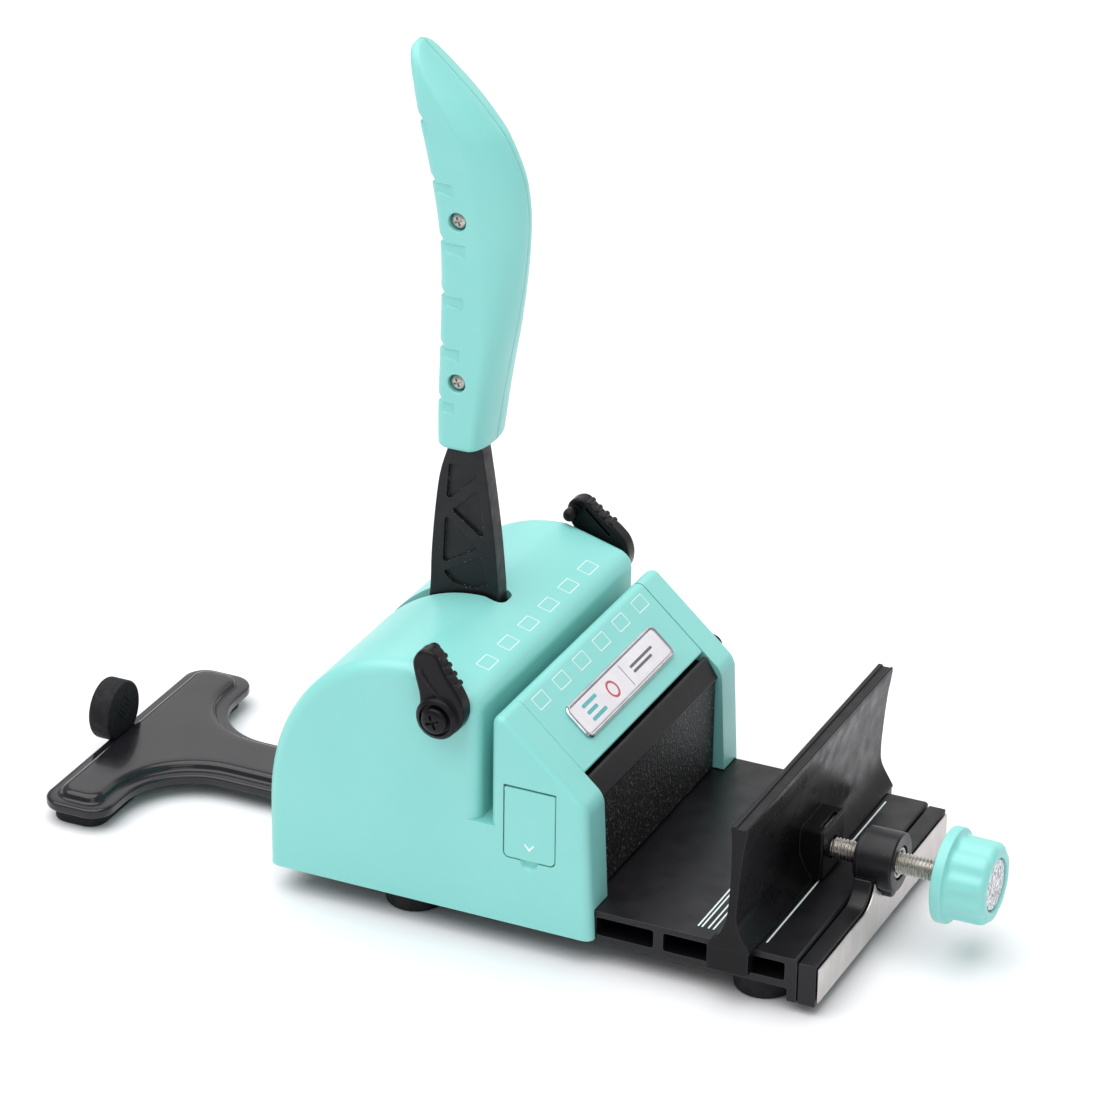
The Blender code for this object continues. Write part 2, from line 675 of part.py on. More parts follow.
def make_return_spring():
    """A torsion spring round the cam sleeve: its coils are a helix, and its tail rests on the deck."""
    radius, wire, turns, per_turn, pitch = 7.3, 0.8, 2.5, 14, 2.05
    start_y, start_angle = 7.4, math.radians(-35)
    points = []
    for i in range(int(turns * per_turn) + 1):
        angle = start_angle - 2 * math.pi * i / per_turn
        y = start_y + pitch * i / per_turn
        points.append((PIVOT_X + radius * math.cos(angle), y, PIVOT_Z + radius * math.sin(angle)))
    last = points[-1]
    points.append((last[0] - 6.0, last[1], last[2] - 7.5))
    points.append((last[0] - 12.0, last[1], DECK_TOP + wire + GAP))
    curve = bpy.data.curves.new("return_spring", "CURVE")
    curve.dimensions = "3D"
    curve.bevel_depth = wire * MM
    curve.bevel_resolution = 1
    curve.use_fill_caps = True
    spline = curve.splines.new("POLY")
    spline.points.add(len(points) - 1)
    for point, spot in zip(spline.points, points):
        point.co = (*(Vector(spot) * MM), 1.0)
    spring = bpy.data.objects.new("return_spring", curve)
    curve.materials.append(steel)
    parts.objects.link(spring)


def pin_places():
    return [(i - (PIN_COUNT - 1) / 2) * PIN_PITCH for i in range(PIN_COUNT)]


def make_punch():
    """A notched carrier bar with six rectangular pins. Each origin lies on the piece's own line of travel."""
    rear = PIVOT_X - punch_offset() * math.sin(SWING_HALF) + PUNCH_CAM_RADIUS + CAM_CLEARANCE
    low, high = (rear, -CARRIER_HALF, CARRIER_LOW), (CARRIER_FRONT, CARRIER_HALF, CARRIER_HIGH)
    carrier = block("punch_carrier", low, high, steel, (CARRIER_FRONT, 0, PIN_Z))
    lever_room = LEVER_SLOT_HALF + 0.5
    cut(carrier, block_mesh((-30.0, -lever_room, 30.0), (0.0, lever_room, 60.0)))
    for side, _ in SIDES:
        cut(carrier, rod_mesh((0, side * PIN_PITCH, PIN_Z), GUIDE_ROD_RADIUS + GAP, "X", -30.0, 0.0, 16))
    for number, y in enumerate(pin_places(), 1):
        low = (CARRIER_FRONT + GAP, y - PIN_WIDTH / 2, PIN_Z - PIN_HEIGHT / 2)
        high = (4.0, y + PIN_WIDTH / 2, PIN_Z + PIN_HEIGHT / 2)
        block(f"punch_pin_{number}", low, high, steel, (CARRIER_FRONT, y, PIN_Z))


def make_jaw():
    """The sliding jaw: a front wall with a sloped brow, a roof that runs back under the cover, and two links."""
    outline = [
        (JAW_WALL, JAW_FOOT),
        (JAW_WALL, 43.9),
        (37.5, 43.9),
        (38.2, 44.6),
        (34.3, 50.6),
        (33.6, 50.2),
        (32.9, JAW_ROOF_HIGH),
        (14.4, JAW_ROOF_HIGH),
        (14.4, JAW_ROOF_LOW),
        (JAW_BACK, JAW_ROOF_LOW),
        (JAW_BACK, JAW_FOOT),
    ]
    origin = (JAW_WALL, 0, JAW_FOOT)
    jaw = prism("closing_jaw", outline, "XZ", -JAW_HALF, JAW_HALF, black_metal, origin)
    bevel(jaw, 0.3, 1, 30)
    face_low = (JAW_WALL + GAP, -JAW_HALF + 0.2, JAW_FOOT + 0.2)
    face = block("jaw_face_plate", face_low, (37.4, JAW_HALF - 0.2, 43.6), black_grain, origin)
    bevel(face, 0.2, 1)
    post_rear = PIVOT_X - jaw_offset() * math.sin(SWING_HALF) + JAW_CAM_RADIUS + CAM_CLEARANCE
    bar_low, bar_high, post_high, post_depth = 17.2, 23.6, 31.2, 4.5
    for side, word in SIDES:
        near, far = sorted((side * 33.5, side * 38.0))
        low, high = (post_rear, near, bar_low), (JAW_BACK - GAP, far, bar_high)
        bar = block(f"jaw_link_{word}", low, high, zinc, (post_rear, side * 36.0, 20.0))
        near, far = sorted((side * (CARRIER_HALF + 0.5), side * 43.2))
        join(bar, block_mesh((post_rear, near, bar_low), (post_rear + post_depth, far, post_high)))


# ---------------------------------------------------------------- handle

def punch_offset():
    return PUNCH_TRAVEL / (2 * math.sin(SWING_HALF))


def jaw_offset():
    return JAW_TRAVEL / (2 * math.sin(SWING_HALF))


def make_cams():
    """Eccentric discs on a sleeve. Each disc's centre swings under the pivot and pushes its slide forwards."""
    pivot = (PIVOT_X, 0, PIVOT_Z)
    sleeve = rod("cam_sleeve", pivot, SLEEVE_RADIUS, "Y", -43.4, 43.4, zinc, pivot)
    cut(sleeve, rod_mesh(pivot, AXLE_RADIUS + GAP, "Y", -45.0, 45.0))
    cams = (
        ("punch_cam", punch_offset(), PUNCH_CAM_RADIUS, 16.0, 24.0),
        ("jaw_cam", jaw_offset(), JAW_CAM_RADIUS, 38.8, 42.8),
    )
    down_back = -math.pi / 2 - SWING_HALF
    for name, offset, radius, near, far in cams:
        lobe = (PIVOT_X + offset * math.cos(down_back), 0, PIVOT_Z + offset * math.sin(down_back))
        for side, word in SIDES:
            low, high = sorted((side * near, side * far))
            cam = rod(f"{name}_{word}", lobe, radius, "Y", low, high, zinc, pivot, sides=28)
            join(cam, rod_mesh(pivot, CAM_HUB_RADIUS, "Y", low, high), cam_web(pivot, lobe, low, high))
            cut(cam, rod_mesh(pivot, SLEEVE_RADIUS + GAP, "Y", low - 1, high + 1))


def cam_web(hub, lobe, low, high):
    """A straight-sided web between the hub and the lobe."""
    start, end = Vector(hub).xz, Vector(lobe).xz
    side = (end - start).normalized().orthogonal() * 4.5
    corners = [start + side, start - side, end - side, end + side]
    return prism_mesh([tuple(corner) for corner in corners], "XZ", low, high)


def make_lever():
    """A flat lever with bowed edges, ribbed by shallow pockets on both faces, and a narrow tang for the grip."""
    pivot = (PIVOT_X, 0, PIVOT_Z)
    tang = [(TANG_FRONT, 122.0), (TANG_FRONT, TANG_TOP), (TANG_REAR, TANG_TOP), (TANG_REAR, 122.0)]
    outline = arc(PIVOT_X, PIVOT_Z, LEVER_HUB, 180, 360, 10) + list(LEVER_FRONT) + tang + list(LEVER_REAR)
    lever = prism("lever_plate", outline, "XZ", -LEVER_HALF, LEVER_HALF, black_cast, pivot)
    bevel(lever, 0.4, 1, 50)
    through = LEVER_HALF + 2.0
    cut(lever, rod_mesh(pivot, SLEEVE_RADIUS + GAP, "Y", -through, through))
    for z in GRIP_SCREWS:
        cut(lever, rod_mesh((GRIP_SCREW_X, 0, z), GRIP_SCREW_HOLE, "Y", -through, through, 16))
    for side, _ in SIDES:
        near, far = sorted((side * POCKET_FLOOR, side * through))
        cut(lever, *[prism_mesh(pocket, "XZ", near, far) for pocket in POCKETS])


def make_grip():
    """Two mirrored halves, hollowed for the tang, that close on it at the middle plane."""
    outline = smooth_outline(GRIP_KNOTS, 3)
    pivot = (PIVOT_X, 0, PIVOT_Z)
    slack = 0.35
    rear, front, top = TANG_REAR - slack, TANG_FRONT + slack, TANG_TOP + slack
    pocket = [(-9.0, 110.0), (-13.9, 118.0), (front, 122.0), (front, top)]
    pocket += [(rear, top), (rear, 122.0), (-25.4, 118.0), (-30.0, 110.0)]
    for side, word in SIDES:
        low, high = sorted((side * GAP / 2, side * GRIP_HALF))
        half = prism(f"grip_{word}", outline, "XZ", low, high, mint, pivot)
        soften(half, side)
        near, far = sorted((side * -0.5, side * (LEVER_HALF + GAP)))
        holes = [prism_mesh(pocket, "XZ", near, far)]
        for z in GRIP_SCREWS:
            centre = (GRIP_SCREW_X, 0, z)
            near, far = sorted((0.0, side * 7.4))
            holes.append(rod_mesh(centre, GRIP_SCREW_HOLE, "Y", near, far, 16))
            if word == "right":
                holes.append(rod_mesh(centre, GRIP_SCREW_HEAD, "Y", -GRIP_HALF - 2.0, -7.0, 20))
        cut(half, *holes, solver="MANIFOLD")
    for word, z in zip(("lower", "upper"), GRIP_SCREWS):
        centre = (GRIP_SCREW_X, 0, z)
        screw = rod(f"grip_screw_{word}", centre, GRIP_SCREW_HEAD - 0.4, "Y", -9.2, -8.2, zinc, pivot, sides=20)
        join(screw, rod_mesh(centre, GRIP_SCREW_HOLE - 0.4, "Y", -8.6, 7.0, 16))


def soften(obj, side):
    """Rounds the outer rim only: the rim at the middle plane stays sharp, so that the halves meet as volumes."""
    mesh = obj.data
    weight = mesh.attributes.new("bevel_weight_edge", "FLOAT", "EDGE")
    for edge in mesh.edges:
        heights = [(mesh.vertices[v].co.y + obj.location.y) * side / MM for v in edge.vertices]
        if min(heights) > GRIP_HALF - 0.5:
            weight.data[edge.index].value = 1.0
    modifier = obj.modifiers.new("soften", "BEVEL")
    modifier.width = GRIP_RIM * MM
    modifier.segments = 2
    modifier.limit_method = "WEIGHT"


# ---------------------------------------------------------------- fence and knob

def make_fence():
    """A moulded bar on the deck with a flared foot, a hook down each side and a block that holds the screw."""
    foot = DECK_TOP + GAP
    slide = (80.0, 0, foot)
    front = [(74.1, foot), (74.1, 16.9), (77.4, 20.6), (79.3, 25.5), (80.0, 32.0), (80.2, 42.0)]
    front += [(80.1, FENCE_TOP)]
    rear = [(84.4, FENCE_TOP), (84.3, 51.2), (83.3, 44.0), (82.5, 35.0), (82.1, 27.0), (82.5, 22.6)]
    rear += [(85.9, 17.0)]
    fence = prism("fence", front + rear + [(85.9, foot)], "XZ", -FENCE_HALF, FENCE_HALF, black_plastic, slide)
    bevel(fence, 0.35, 1, 50)
    for side, _ in SIDES:
        near, far = sorted((side * (DECK_HALF_WIDTH + GAP), side * (FENCE_HALF - 0.05)))
        join(fence, block_mesh((74.2, near, 9.6), (85.8, far, foot + 1.0)))
    join(fence, block_mesh((81.5, -8.0, foot + 0.4), (88.7, 8.0, 31.5)))
    axis = (0, 0, SCREW_Z)
    low, high = CLIP_REAR - GAP, CLIP_FRONT + GAP
    bore = rod_mesh(axis, SCREW_RADIUS + GAP, "X", 84.6, 95.0)
    cut(fence, bore, block_mesh((low, -4.6, 18.6), (high, 4.6, 40.0)))
    clip = block("screw_clip", (CLIP_REAR, -4.2, 19.0), (CLIP_FRONT, 4.2, 30.5), zinc, slide)
    neck = SCREW_NECK + 0.4
    cut(clip, block_mesh((low, -neck, 18.0), (high, neck, SCREW_Z)), rod_mesh(axis, neck, "X", low, high, 16))


def fluted_outline():
    """A circle pressed in by shallow flutes."""
    steps = 60
    points = []
    for i in range(steps):
        angle = 2 * math.pi * i / steps
        radius = KNOB_RADIUS - FLUTE_DEPTH * math.cos(FLUTES * angle) ** 3
        points.append((radius * math.cos(angle), SCREW_Z + radius * math.sin(angle)))
    return points


def make_knob():
    """The adjusting screw, with a neck for the clip, and its flanged knob with a capped end."""
    axis = (0, 0, SCREW_Z)
    origin = (FLANGE_X, 0, SCREW_Z)
    screw = rod("adjusting_screw", axis, SCREW_RADIUS, "X", CLIP_FRONT + 0.5, 126.0, zinc, origin)
    neck = rod_mesh(axis, SCREW_NECK, "X", 86.0, 89.0, 16)
    join(screw, neck, rod_mesh(axis, SCREW_RADIUS - 0.1, "X", 85.0, CLIP_REAR - 0.5))
    knob = prism("knob", fluted_outline(), "YZ", KNOB_X, KNOB_END, mint, origin)
    bevel(knob, 1.2, 1, 50)
    flange = link("knob_flange", rod_mesh(axis, FLANGE_RADIUS, "X", FLANGE_X, FLANGE_X + 3.3, 40), None)
    bevel(flange, 0.6, 1)
    join(knob, flange)
    bore = rod_mesh(axis, SCREW_RADIUS + GAP, "X", 110.0, 126.3)
    cut(knob, bore, rod_mesh(axis, CAP_RECESS, "X", KNOB_END - 1.8, KNOB_END + 5.0, 32))
    cap = rod("knob_cap", axis, CAP_RECESS - GAP, "X", KNOB_END - 1.5, KNOB_END - 0.4, silver, origin, sides=32)
    bevel(cap, 0.3, 1)


# ---------------------------------------------------------------- side levers

def leaned(point, degrees):
    """A point of a side lever, turned back about its pivot."""
    return Matrix.Rotation(math.radians(degrees), 2) @ (Vector(point) - Vector((GUIDE_X, GUIDE_Z)))


def make_side_levers():
    """A small arm on each side of the paper slot, with a round finger that turns in over the housing."""
    for side, word in SIDES:
        lean = GUIDE_LEAN[word]
        pivot = (GUIDE_X, side * HALF_WIDTH, GUIDE_Z)
        spokes = [leaned(knot, lean) for knot in GUIDE_KNOTS]
        outline = [(GUIDE_X + spoke.x, GUIDE_Z + spoke.y) for spoke in spokes]
        low, high = sorted((side * (HALF_WIDTH + GAP), side * 56.0))
        arm = prism(f"side_lever_{word}", smooth_outline(outline, 3), "XZ", low, high, black_plastic, pivot)
        bevel(arm, 0.6, 1, 50)
        spoke = leaned((FINGER_X, FINGER_Z), lean)
        low, high = sorted((side * FINGER_END, side * 54.0))
        join(arm, rod_mesh((GUIDE_X + spoke.x, 0, GUIDE_Z + spoke.y), FINGER_RADIUS, "Y", low, high, 16))
        low, high = sorted((side * 55.0, side * 57.4))
        join(arm, rod_mesh(pivot, 4.6, "Y", low, high))
        low, high = sorted((side * 45.0, side * 60.0))
        cut(arm, rod_mesh(pivot, GUIDE_HOLE, "Y", low, high, 16))
        low, high = sorted((side * 57.7, side * 59.0))
        screw = rod(f"side_lever_screw_{word}", pivot, 3.6, "Y", low, high, zinc, pivot, sides=20)
        low, high = sorted((side * 46.5, side * 58.0))
        join(screw, rod_mesh(pivot, GUIDE_SHANK, "Y", low, high, 12))


clear_scene()
parts = new_collection("punch_and_close_press")
cutters = new_collection("cutters")
mint = new_material("mint_plastic", (0.38, 0.78, 0.71), 0.38, 0.0)
black_metal = new_material("black_anodised", (0.018, 0.018, 0.022), 0.42, 0.6)
black_gloss = new_material("black_lacquer", (0.035, 0.033, 0.04), 0.22, 0.0)
black_plastic = new_material("black_plastic", (0.03, 0.028, 0.03), 0.3, 0.0)
black_cast = new_material("black_cast", (0.02, 0.02, 0.022), 0.5, 0.4)
black_grain = new_material("black_grain", (0.02, 0.02, 0.022), 0.7, 0.2)
rubber = new_material("rubber", (0.025, 0.025, 0.026), 0.8, 0.0)
steel = new_material("steel", (0.5, 0.5, 0.5), 0.35, 1.0)
zinc = new_material("zinc", (0.55, 0.54, 0.52), 0.4, 1.0)
brushed = new_material("brushed_strip", (0.6, 0.58, 0.56), 0.35, 1.0)
silver = new_material("silver_trim", (0.75, 0.75, 0.76), 0.15, 1.0)

make_base()
make_end_plate()
make_stabiliser()
make_housing()
make_frames()
make_punch()
make_jaw()
make_cams()
make_lever()
make_grip()
make_fence()
make_knob()
make_side_levers()
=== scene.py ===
"""Looks of the tabletop punch-and-close press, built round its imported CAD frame.

Shapes are drawn in millimetres in the frame's axes: +X towards the adjusting knob, +Y across the deck, +Z up.
"""

import json
import math

import bmesh
import bpy
from mathutils import Matrix, Vector


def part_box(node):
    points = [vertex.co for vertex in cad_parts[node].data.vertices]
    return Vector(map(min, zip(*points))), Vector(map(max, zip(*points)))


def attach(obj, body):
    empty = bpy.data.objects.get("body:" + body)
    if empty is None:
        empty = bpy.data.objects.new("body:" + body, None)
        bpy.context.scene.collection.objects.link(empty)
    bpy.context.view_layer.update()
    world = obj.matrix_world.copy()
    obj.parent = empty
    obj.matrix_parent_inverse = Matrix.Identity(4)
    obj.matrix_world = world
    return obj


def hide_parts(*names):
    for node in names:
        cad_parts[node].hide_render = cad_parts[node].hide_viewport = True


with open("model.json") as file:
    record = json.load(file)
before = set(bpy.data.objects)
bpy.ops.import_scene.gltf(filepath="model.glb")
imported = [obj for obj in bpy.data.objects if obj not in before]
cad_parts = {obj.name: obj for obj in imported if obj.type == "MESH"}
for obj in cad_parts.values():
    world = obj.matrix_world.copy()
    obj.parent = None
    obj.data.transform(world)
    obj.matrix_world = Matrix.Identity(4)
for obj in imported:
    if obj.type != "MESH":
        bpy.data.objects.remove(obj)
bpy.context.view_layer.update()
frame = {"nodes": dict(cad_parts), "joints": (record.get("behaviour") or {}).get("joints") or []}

MM = 0.001
GAP = 0.3

SIDES = ((-1, "right"), (1, "left"))


def span(node):
    """A CAD node's lowest and highest corners, in millimetres."""
    low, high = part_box(node)
    return low / MM, high / MM


def middle(node):
    low, high = span(node)
    return (low + high) / 2


def joint_point(name):
    joint = next(item for item in frame["joints"] if item["name"] == name)
    return Vector(joint["pos_m"]) / MM


# ---------------------------------------------------------------- materials

def linear(colour):
    """A colour given in 0-255 display values, as scene values."""
    parts = [value / 255 for value in colour]
    return [part / 12.92 if part <= 0.04045 else ((part + 0.055) / 1.055) ** 2.4 for part in parts] + [1.0]


class Finish:
    """A Principled material, with helpers that add procedural detail in the piece's own coordinates."""

    def __init__(self, name, colour, roughness, metallic=0.0, **sockets):
        self.material = bpy.data.materials.new(name)
        self.material.use_nodes = True
        self.tree = self.material.node_tree
        self.shader = self.tree.nodes["Principled BSDF"]
        self.shader.inputs["Base Color"].default_value = linear(colour)
        self.shader.inputs["Roughness"].default_value = roughness
        self.shader.inputs["Metallic"].default_value = metallic
        for socket, value in sockets.items():
            self.shader.inputs[socket.replace("_", " ")].default_value = value
        self.place = self.node("ShaderNodeTexCoord").outputs["Object"]
        self.colour = None
        self.normal = None

    def node(self, kind, inputs=(), **settings):
        made = self.tree.nodes.new(kind)
        for name, value in settings.items():
            setattr(made, name, value)
        for socket, value in dict(inputs).items():
            if isinstance(value, bpy.types.NodeSocket):
                self.tree.links.new(value, made.inputs[socket])
            else:
                made.inputs[socket].default_value = value
        return made

    def noise(self, size, stretch=(1, 1, 1), detail=2.0, rough=0.5):
        """Noise whose lumps are about this many millimetres, longer along a stretched axis."""
        scale = [1 / (size * MM * part) for part in stretch]
        mapping = self.node("ShaderNodeMapping", {"Vector": self.place, "Scale": scale})
        inputs = {"Vector": mapping.outputs[0], "Scale": 1.0, "Detail": detail, "Roughness": rough}
        return self.node("ShaderNodeTexNoise", inputs).outputs["Fac"]

    def cells(self, size):
        mapping = self.node("ShaderNodeMapping", {"Vector": self.place, "Scale": [1 / (size * MM)] * 3})
        return self.node("ShaderNodeTexVoronoi", {"Vector": mapping.outputs[0], "Scale": 1.0})

    def ramp(self, value, low, high, start=0.0, end=1.0):
        inputs = {"Value": value, "From Min": low, "From Max": high, "To Min": start, "To Max": end}
        return self.node("ShaderNodeMapRange", inputs, clamp=True).outputs[0]

    def edge_wear_and_highlight(self, radius):
        """From 0 on flat faces to 1 on edges sharper than this radius: a mask for real edge wear, and for a
        painted edge highlight on the mint plastic.
        """
        soft = self.node("ShaderNodeBevel", {"Radius": radius * MM}, samples=4).outputs[0]
        true = self.node("ShaderNodeNewGeometry").outputs["Normal"]
        facing = self.node("ShaderNodeVectorMath", {0: soft, 1: true}, operation="DOT_PRODUCT")
        return self.ramp(facing.outputs["Value"], 0.99, 0.8)

    def tint(self, factor, colour, strength=1.0):
        """Blends this colour over the ones so far, by the factor."""
        amount = self.ramp(factor, 0.0, 1.0, 0.0, strength)
        under = self.colour or self.shader.inputs["Base Color"].default_value[:]
        inputs = {"Factor": amount, 6: under, 7: linear(colour)}
        self.colour = self.node("ShaderNodeMix", inputs, data_type="RGBA").outputs[2]
        self.tree.links.new(self.colour, self.shader.inputs["Base Color"])
        return self

    def mottle(self, size, low, high, colour, strength):
        """Blends this colour in where noise of this size rises from low to high."""
        return self.tint(self.ramp(self.noise(size), low, high), colour, strength)

    def vary_roughness(self, factor, low, high):
        self.tree.links.new(self.ramp(factor, 0.3, 0.7, low, high), self.shader.inputs["Roughness"])
        return self

    def bump(self, height, depth, strength=1.0):
        """Raises the surface by up to this many millimetres where the height is 1."""
        inputs = {"Height": height, "Distance": depth * MM, "Strength": strength}
        if self.normal:
            inputs["Normal"] = self.normal
        self.normal = self.node("ShaderNodeBump", inputs).outputs[0]
        self.tree.links.new(self.normal, self.shader.inputs["Normal"])
        return self

    def rounded_edges(self, radius):
        self.normal = self.node("ShaderNodeBevel", {"Radius": radius * MM}, samples=4).outputs[0]
        self.tree.links.new(self.normal, self.shader.inputs["Normal"])
        return self


def mint_plastic():
    """Moulded ABS with a fine satin texture and slightly paler edges, which are a painted highlight for light
    glowing through the thin rims.
    """
    glow = {"Specular_IOR_Level": 0.65, "Subsurface_Weight": 0.06, "Subsurface_Scale": 0.002}
    finish = Finish("mint_plastic", (134, 212, 206), 0.36, **glow)
    finish.rounded_edges(0.25)
    finish.mottle(38.0, 0.35, 0.65, (140, 216, 210), 0.8)
    # painted highlight: the edges are tinted paler where light would glow through the thin plastic
    finish.tint(finish.edge_wear_and_highlight(0.5), (180, 237, 232), 0.4)
    finish.mottle(0.5, 0.72, 0.8, (112, 188, 181), 0.25)
    finish.vary_roughness(finish.noise(9.0), 0.32, 0.44)
    return finish.bump(finish.noise(0.28, detail=3.0), 0.012, 0.5).bump(finish.noise(14.0), 0.05, 0.4)


def black_anodised():
    """Extruded aluminium: fine drawing lines run across the machine, and edges are rubbed lighter."""
    finish = Finish("black_anodised", (13, 13, 16), 0.36, Specular_IOR_Level=0.35)
    lines = finish.noise(0.22, (1, 220, 1), 3.0)
    finish.mottle(30.0, 0.35, 0.7, (20, 20, 24), 0.7)
    finish.tint(finish.ramp(lines, 0.45, 0.75), (30, 30, 35), 0.5)
    finish.tint(finish.edge_wear_and_highlight(0.35), (92, 91, 97), 0.5)
    finish.mottle(0.7, 0.74, 0.78, (96, 96, 101), 0.35)
    finish.vary_roughness(finish.noise(7.0), 0.3, 0.45)
    return finish.bump(lines, 0.012, 0.6)


def black_lacquer():
    """Glossy enamel with a faint orange peel and a few specks of dust."""
    gloss = {"Specular_IOR_Level": 0.35, "Coat_Weight": 0.25, "Coat_Roughness": 0.06}
    finish = Finish("black_lacquer", (20, 19, 23), 0.17, **gloss)
    finish.mottle(26.0, 0.3, 0.7, (28, 26, 31), 0.7)
    finish.mottle(0.45, 0.76, 0.8, (120, 120, 124), 0.45)
    finish.tint(finish.edge_wear_and_highlight(0.4), (70, 68, 75), 0.3)
    finish.vary_roughness(finish.noise(12.0), 0.14, 0.26)
    return finish.bump(finish.noise(2.4), 0.02, 0.35)


def black_plastic():
    """Semi-gloss moulding with scuffed edges and dust."""
    finish = Finish("black_plastic", (12, 11, 13), 0.26, Specular_IOR_Level=0.2)
    finish.rounded_edges(0.15)
    finish.mottle(22.0, 0.35, 0.7, (23, 20, 24), 0.7)
    finish.tint(finish.edge_wear_and_highlight(0.3), (92, 85, 92), 0.5)
    finish.mottle(0.5, 0.74, 0.78, (98, 94, 98), 0.3)
    finish.vary_roughness(finish.noise(5.0), 0.24, 0.4)
    return finish.bump(finish.noise(0.35, detail=3.0), 0.01, 0.5).bump(finish.noise(10.0), 0.04, 0.3)


def black_cast():
    """Coated casting: a pebbled skin, with bare bright specks along its edges."""
    finish = Finish("black_cast", (16, 15, 18), 0.42, Specular_IOR_Level=0.35)
    finish.rounded_edges(0.2)
    specks = finish.ramp(finish.noise(0.55, detail=3.0), 0.6, 0.66)
    finish.mottle(14.0, 0.35, 0.7, (25, 23, 27), 0.8)
    edges = finish.node("ShaderNodeMath", {0: finish.edge_wear_and_highlight(0.5), 1: specks}, operation="MULTIPLY")
    finish.tint(edges.outputs[0], (190, 184, 186), 0.75)
    finish.vary_roughness(finish.noise(3.0), 0.34, 0.52)
    return finish.bump(finish.noise(0.6, detail=4.0), 0.05, 0.5)


def black_grain():
    """Coarse sprayed grain, whose raised points catch the light."""
    finish = Finish("black_grain", (11, 11, 13), 0.4, Specular_IOR_Level=0.3)
    grain = finish.noise(0.8, detail=3.0, rough=0.65)
    points = finish.ramp(grain, 0.58, 0.66)
    finish.tint(points, (150, 151, 156), 0.8)
    finish.vary_roughness(grain, 0.3, 0.6)
    return finish.bump(grain, 0.5, 0.9)


def rubber():
    finish = Finish("rubber", (17, 17, 20), 0.7, Specular_IOR_Level=0.35)
    finish.mottle(6.0, 0.4, 0.7, (24, 24, 28), 0.7)
    finish.tint(finish.edge_wear_and_highlight(0.5), (50, 50, 55), 0.5)
    finish.vary_roughness(finish.noise(2.0), 0.62, 0.82)
    return finish.bump(finish.noise(0.3, detail=3.0), 0.03, 0.6)


def ground_steel():
    finish = Finish("ground_steel", (168, 168, 170), 0.3, 1.0)
    lines = finish.noise(0.15, (1, 60, 1), 3.0)
    finish.tint(finish.ramp(lines, 0.4, 0.7), (134, 134, 137), 0.7)
    finish.mottle(8.0, 0.5, 0.75, (120, 112, 100), 0.35)
    finish.vary_roughness(finish.noise(3.0), 0.22, 0.42)
    return finish.bump(lines, 0.01, 0.6)


def zinc_plate():
    """Bright zinc with a faint warm bloom and dull patches."""
    finish = Finish("zinc_plate", (190, 186, 180), 0.32, 1.0)
    finish.mottle(2.2, 0.45, 0.75, (148, 142, 134), 0.7)
    finish.mottle(0.5, 0.6, 0.75, (92, 88, 84), 0.5)
    finish.vary_roughness(finish.noise(1.2), 0.22, 0.46)
    return finish.bump(finish.noise(0.4), 0.015, 0.5)


def brushed_strip():
    """Brushed silver foil with soft smudges."""
    finish = Finish("brushed_strip", (206, 201, 198), 0.34, 1.0)
    lines = finish.noise(0.12, (1, 1, 90), 3.0)
    smudge = finish.noise(9.0, detail=3.0)
    finish.tint(finish.ramp(lines, 0.4, 0.7), (180, 175, 172), 0.6)
    finish.tint(finish.ramp(smudge, 0.5, 0.72), (224, 219, 222), 0.6)
    finish.vary_roughness(smudge, 0.3, 0.5)
    return finish.bump(lines, 0.008, 0.5)


def silver_trim():
    finish = Finish("silver_trim", (214, 214, 218), 0.12, 1.0)
    finish.mottle(5.0, 0.45, 0.7, (176, 178, 184), 0.6)
    finish.vary_roughness(finish.noise(1.5), 0.08, 0.22)
    return finish.bump(finish.noise(2.0), 0.02, 0.4)


def silver_flakes():
    """Flakes set at many angles, which sparkle."""
    finish = Finish("silver_flakes", (198, 200, 204), 0.22, 1.0)
    flakes = finish.cells(0.8)
    shade = finish.node("ShaderNodeSeparateColor", {"Color": flakes.outputs["Color"]}).outputs[0]
    finish.tint(finish.ramp(shade, 0.1, 0.9), (104, 108, 114), 0.85)
    finish.tint(finish.ramp(shade, 0.86, 0.94), (250, 250, 252), 0.9)
    finish.vary_roughness(shade, 0.12, 0.4)
    return finish.bump(shade, 0.3, 0.8)


def white_print():
    finish = Finish("white_print", (232, 246, 243), 0.5)
    finish.mottle(0.4, 0.55, 0.75, (200, 226, 221), 0.4)
    return finish.bump(finish.noise(0.2), 0.004, 0.4)


def label_card():
    """Printed white card, slightly mottled."""
    finish = Finish("label_card", (232, 229, 234), 0.4, Coat_Weight=0.8, Coat_Roughness=0.05)
    finish.mottle(7.0, 0.4, 0.7, (218, 214, 220), 0.6)
    return finish.bump(finish.noise(0.5), 0.004, 0.4)


def print_ink(name, colour):
    finish = Finish(name, colour, 0.45)
    finish.mottle(0.5, 0.5, 0.75, [min(value + 40, 255) for value in colour], 0.4)
    return finish.bump(finish.noise(0.25), 0.003, 0.4)


mint = mint_plastic().material
anodised = black_anodised().material
lacquer = black_lacquer().material
plastic = black_plastic().material
cast = black_cast().material
grain = black_grain().material
rubber_black = rubber().material
steel = ground_steel().material
zinc = zinc_plate().material
brushed = brushed_strip().material
trim = silver_trim().material
flakes = silver_flakes().material
print_white = white_print().material
card = label_card().material
ink_teal = print_ink("ink_teal", (88, 176, 178)).material
ink_red = print_ink("ink_red", (190, 74, 88)).material
ink_grey = print_ink("ink_grey", (96, 98, 104)).material

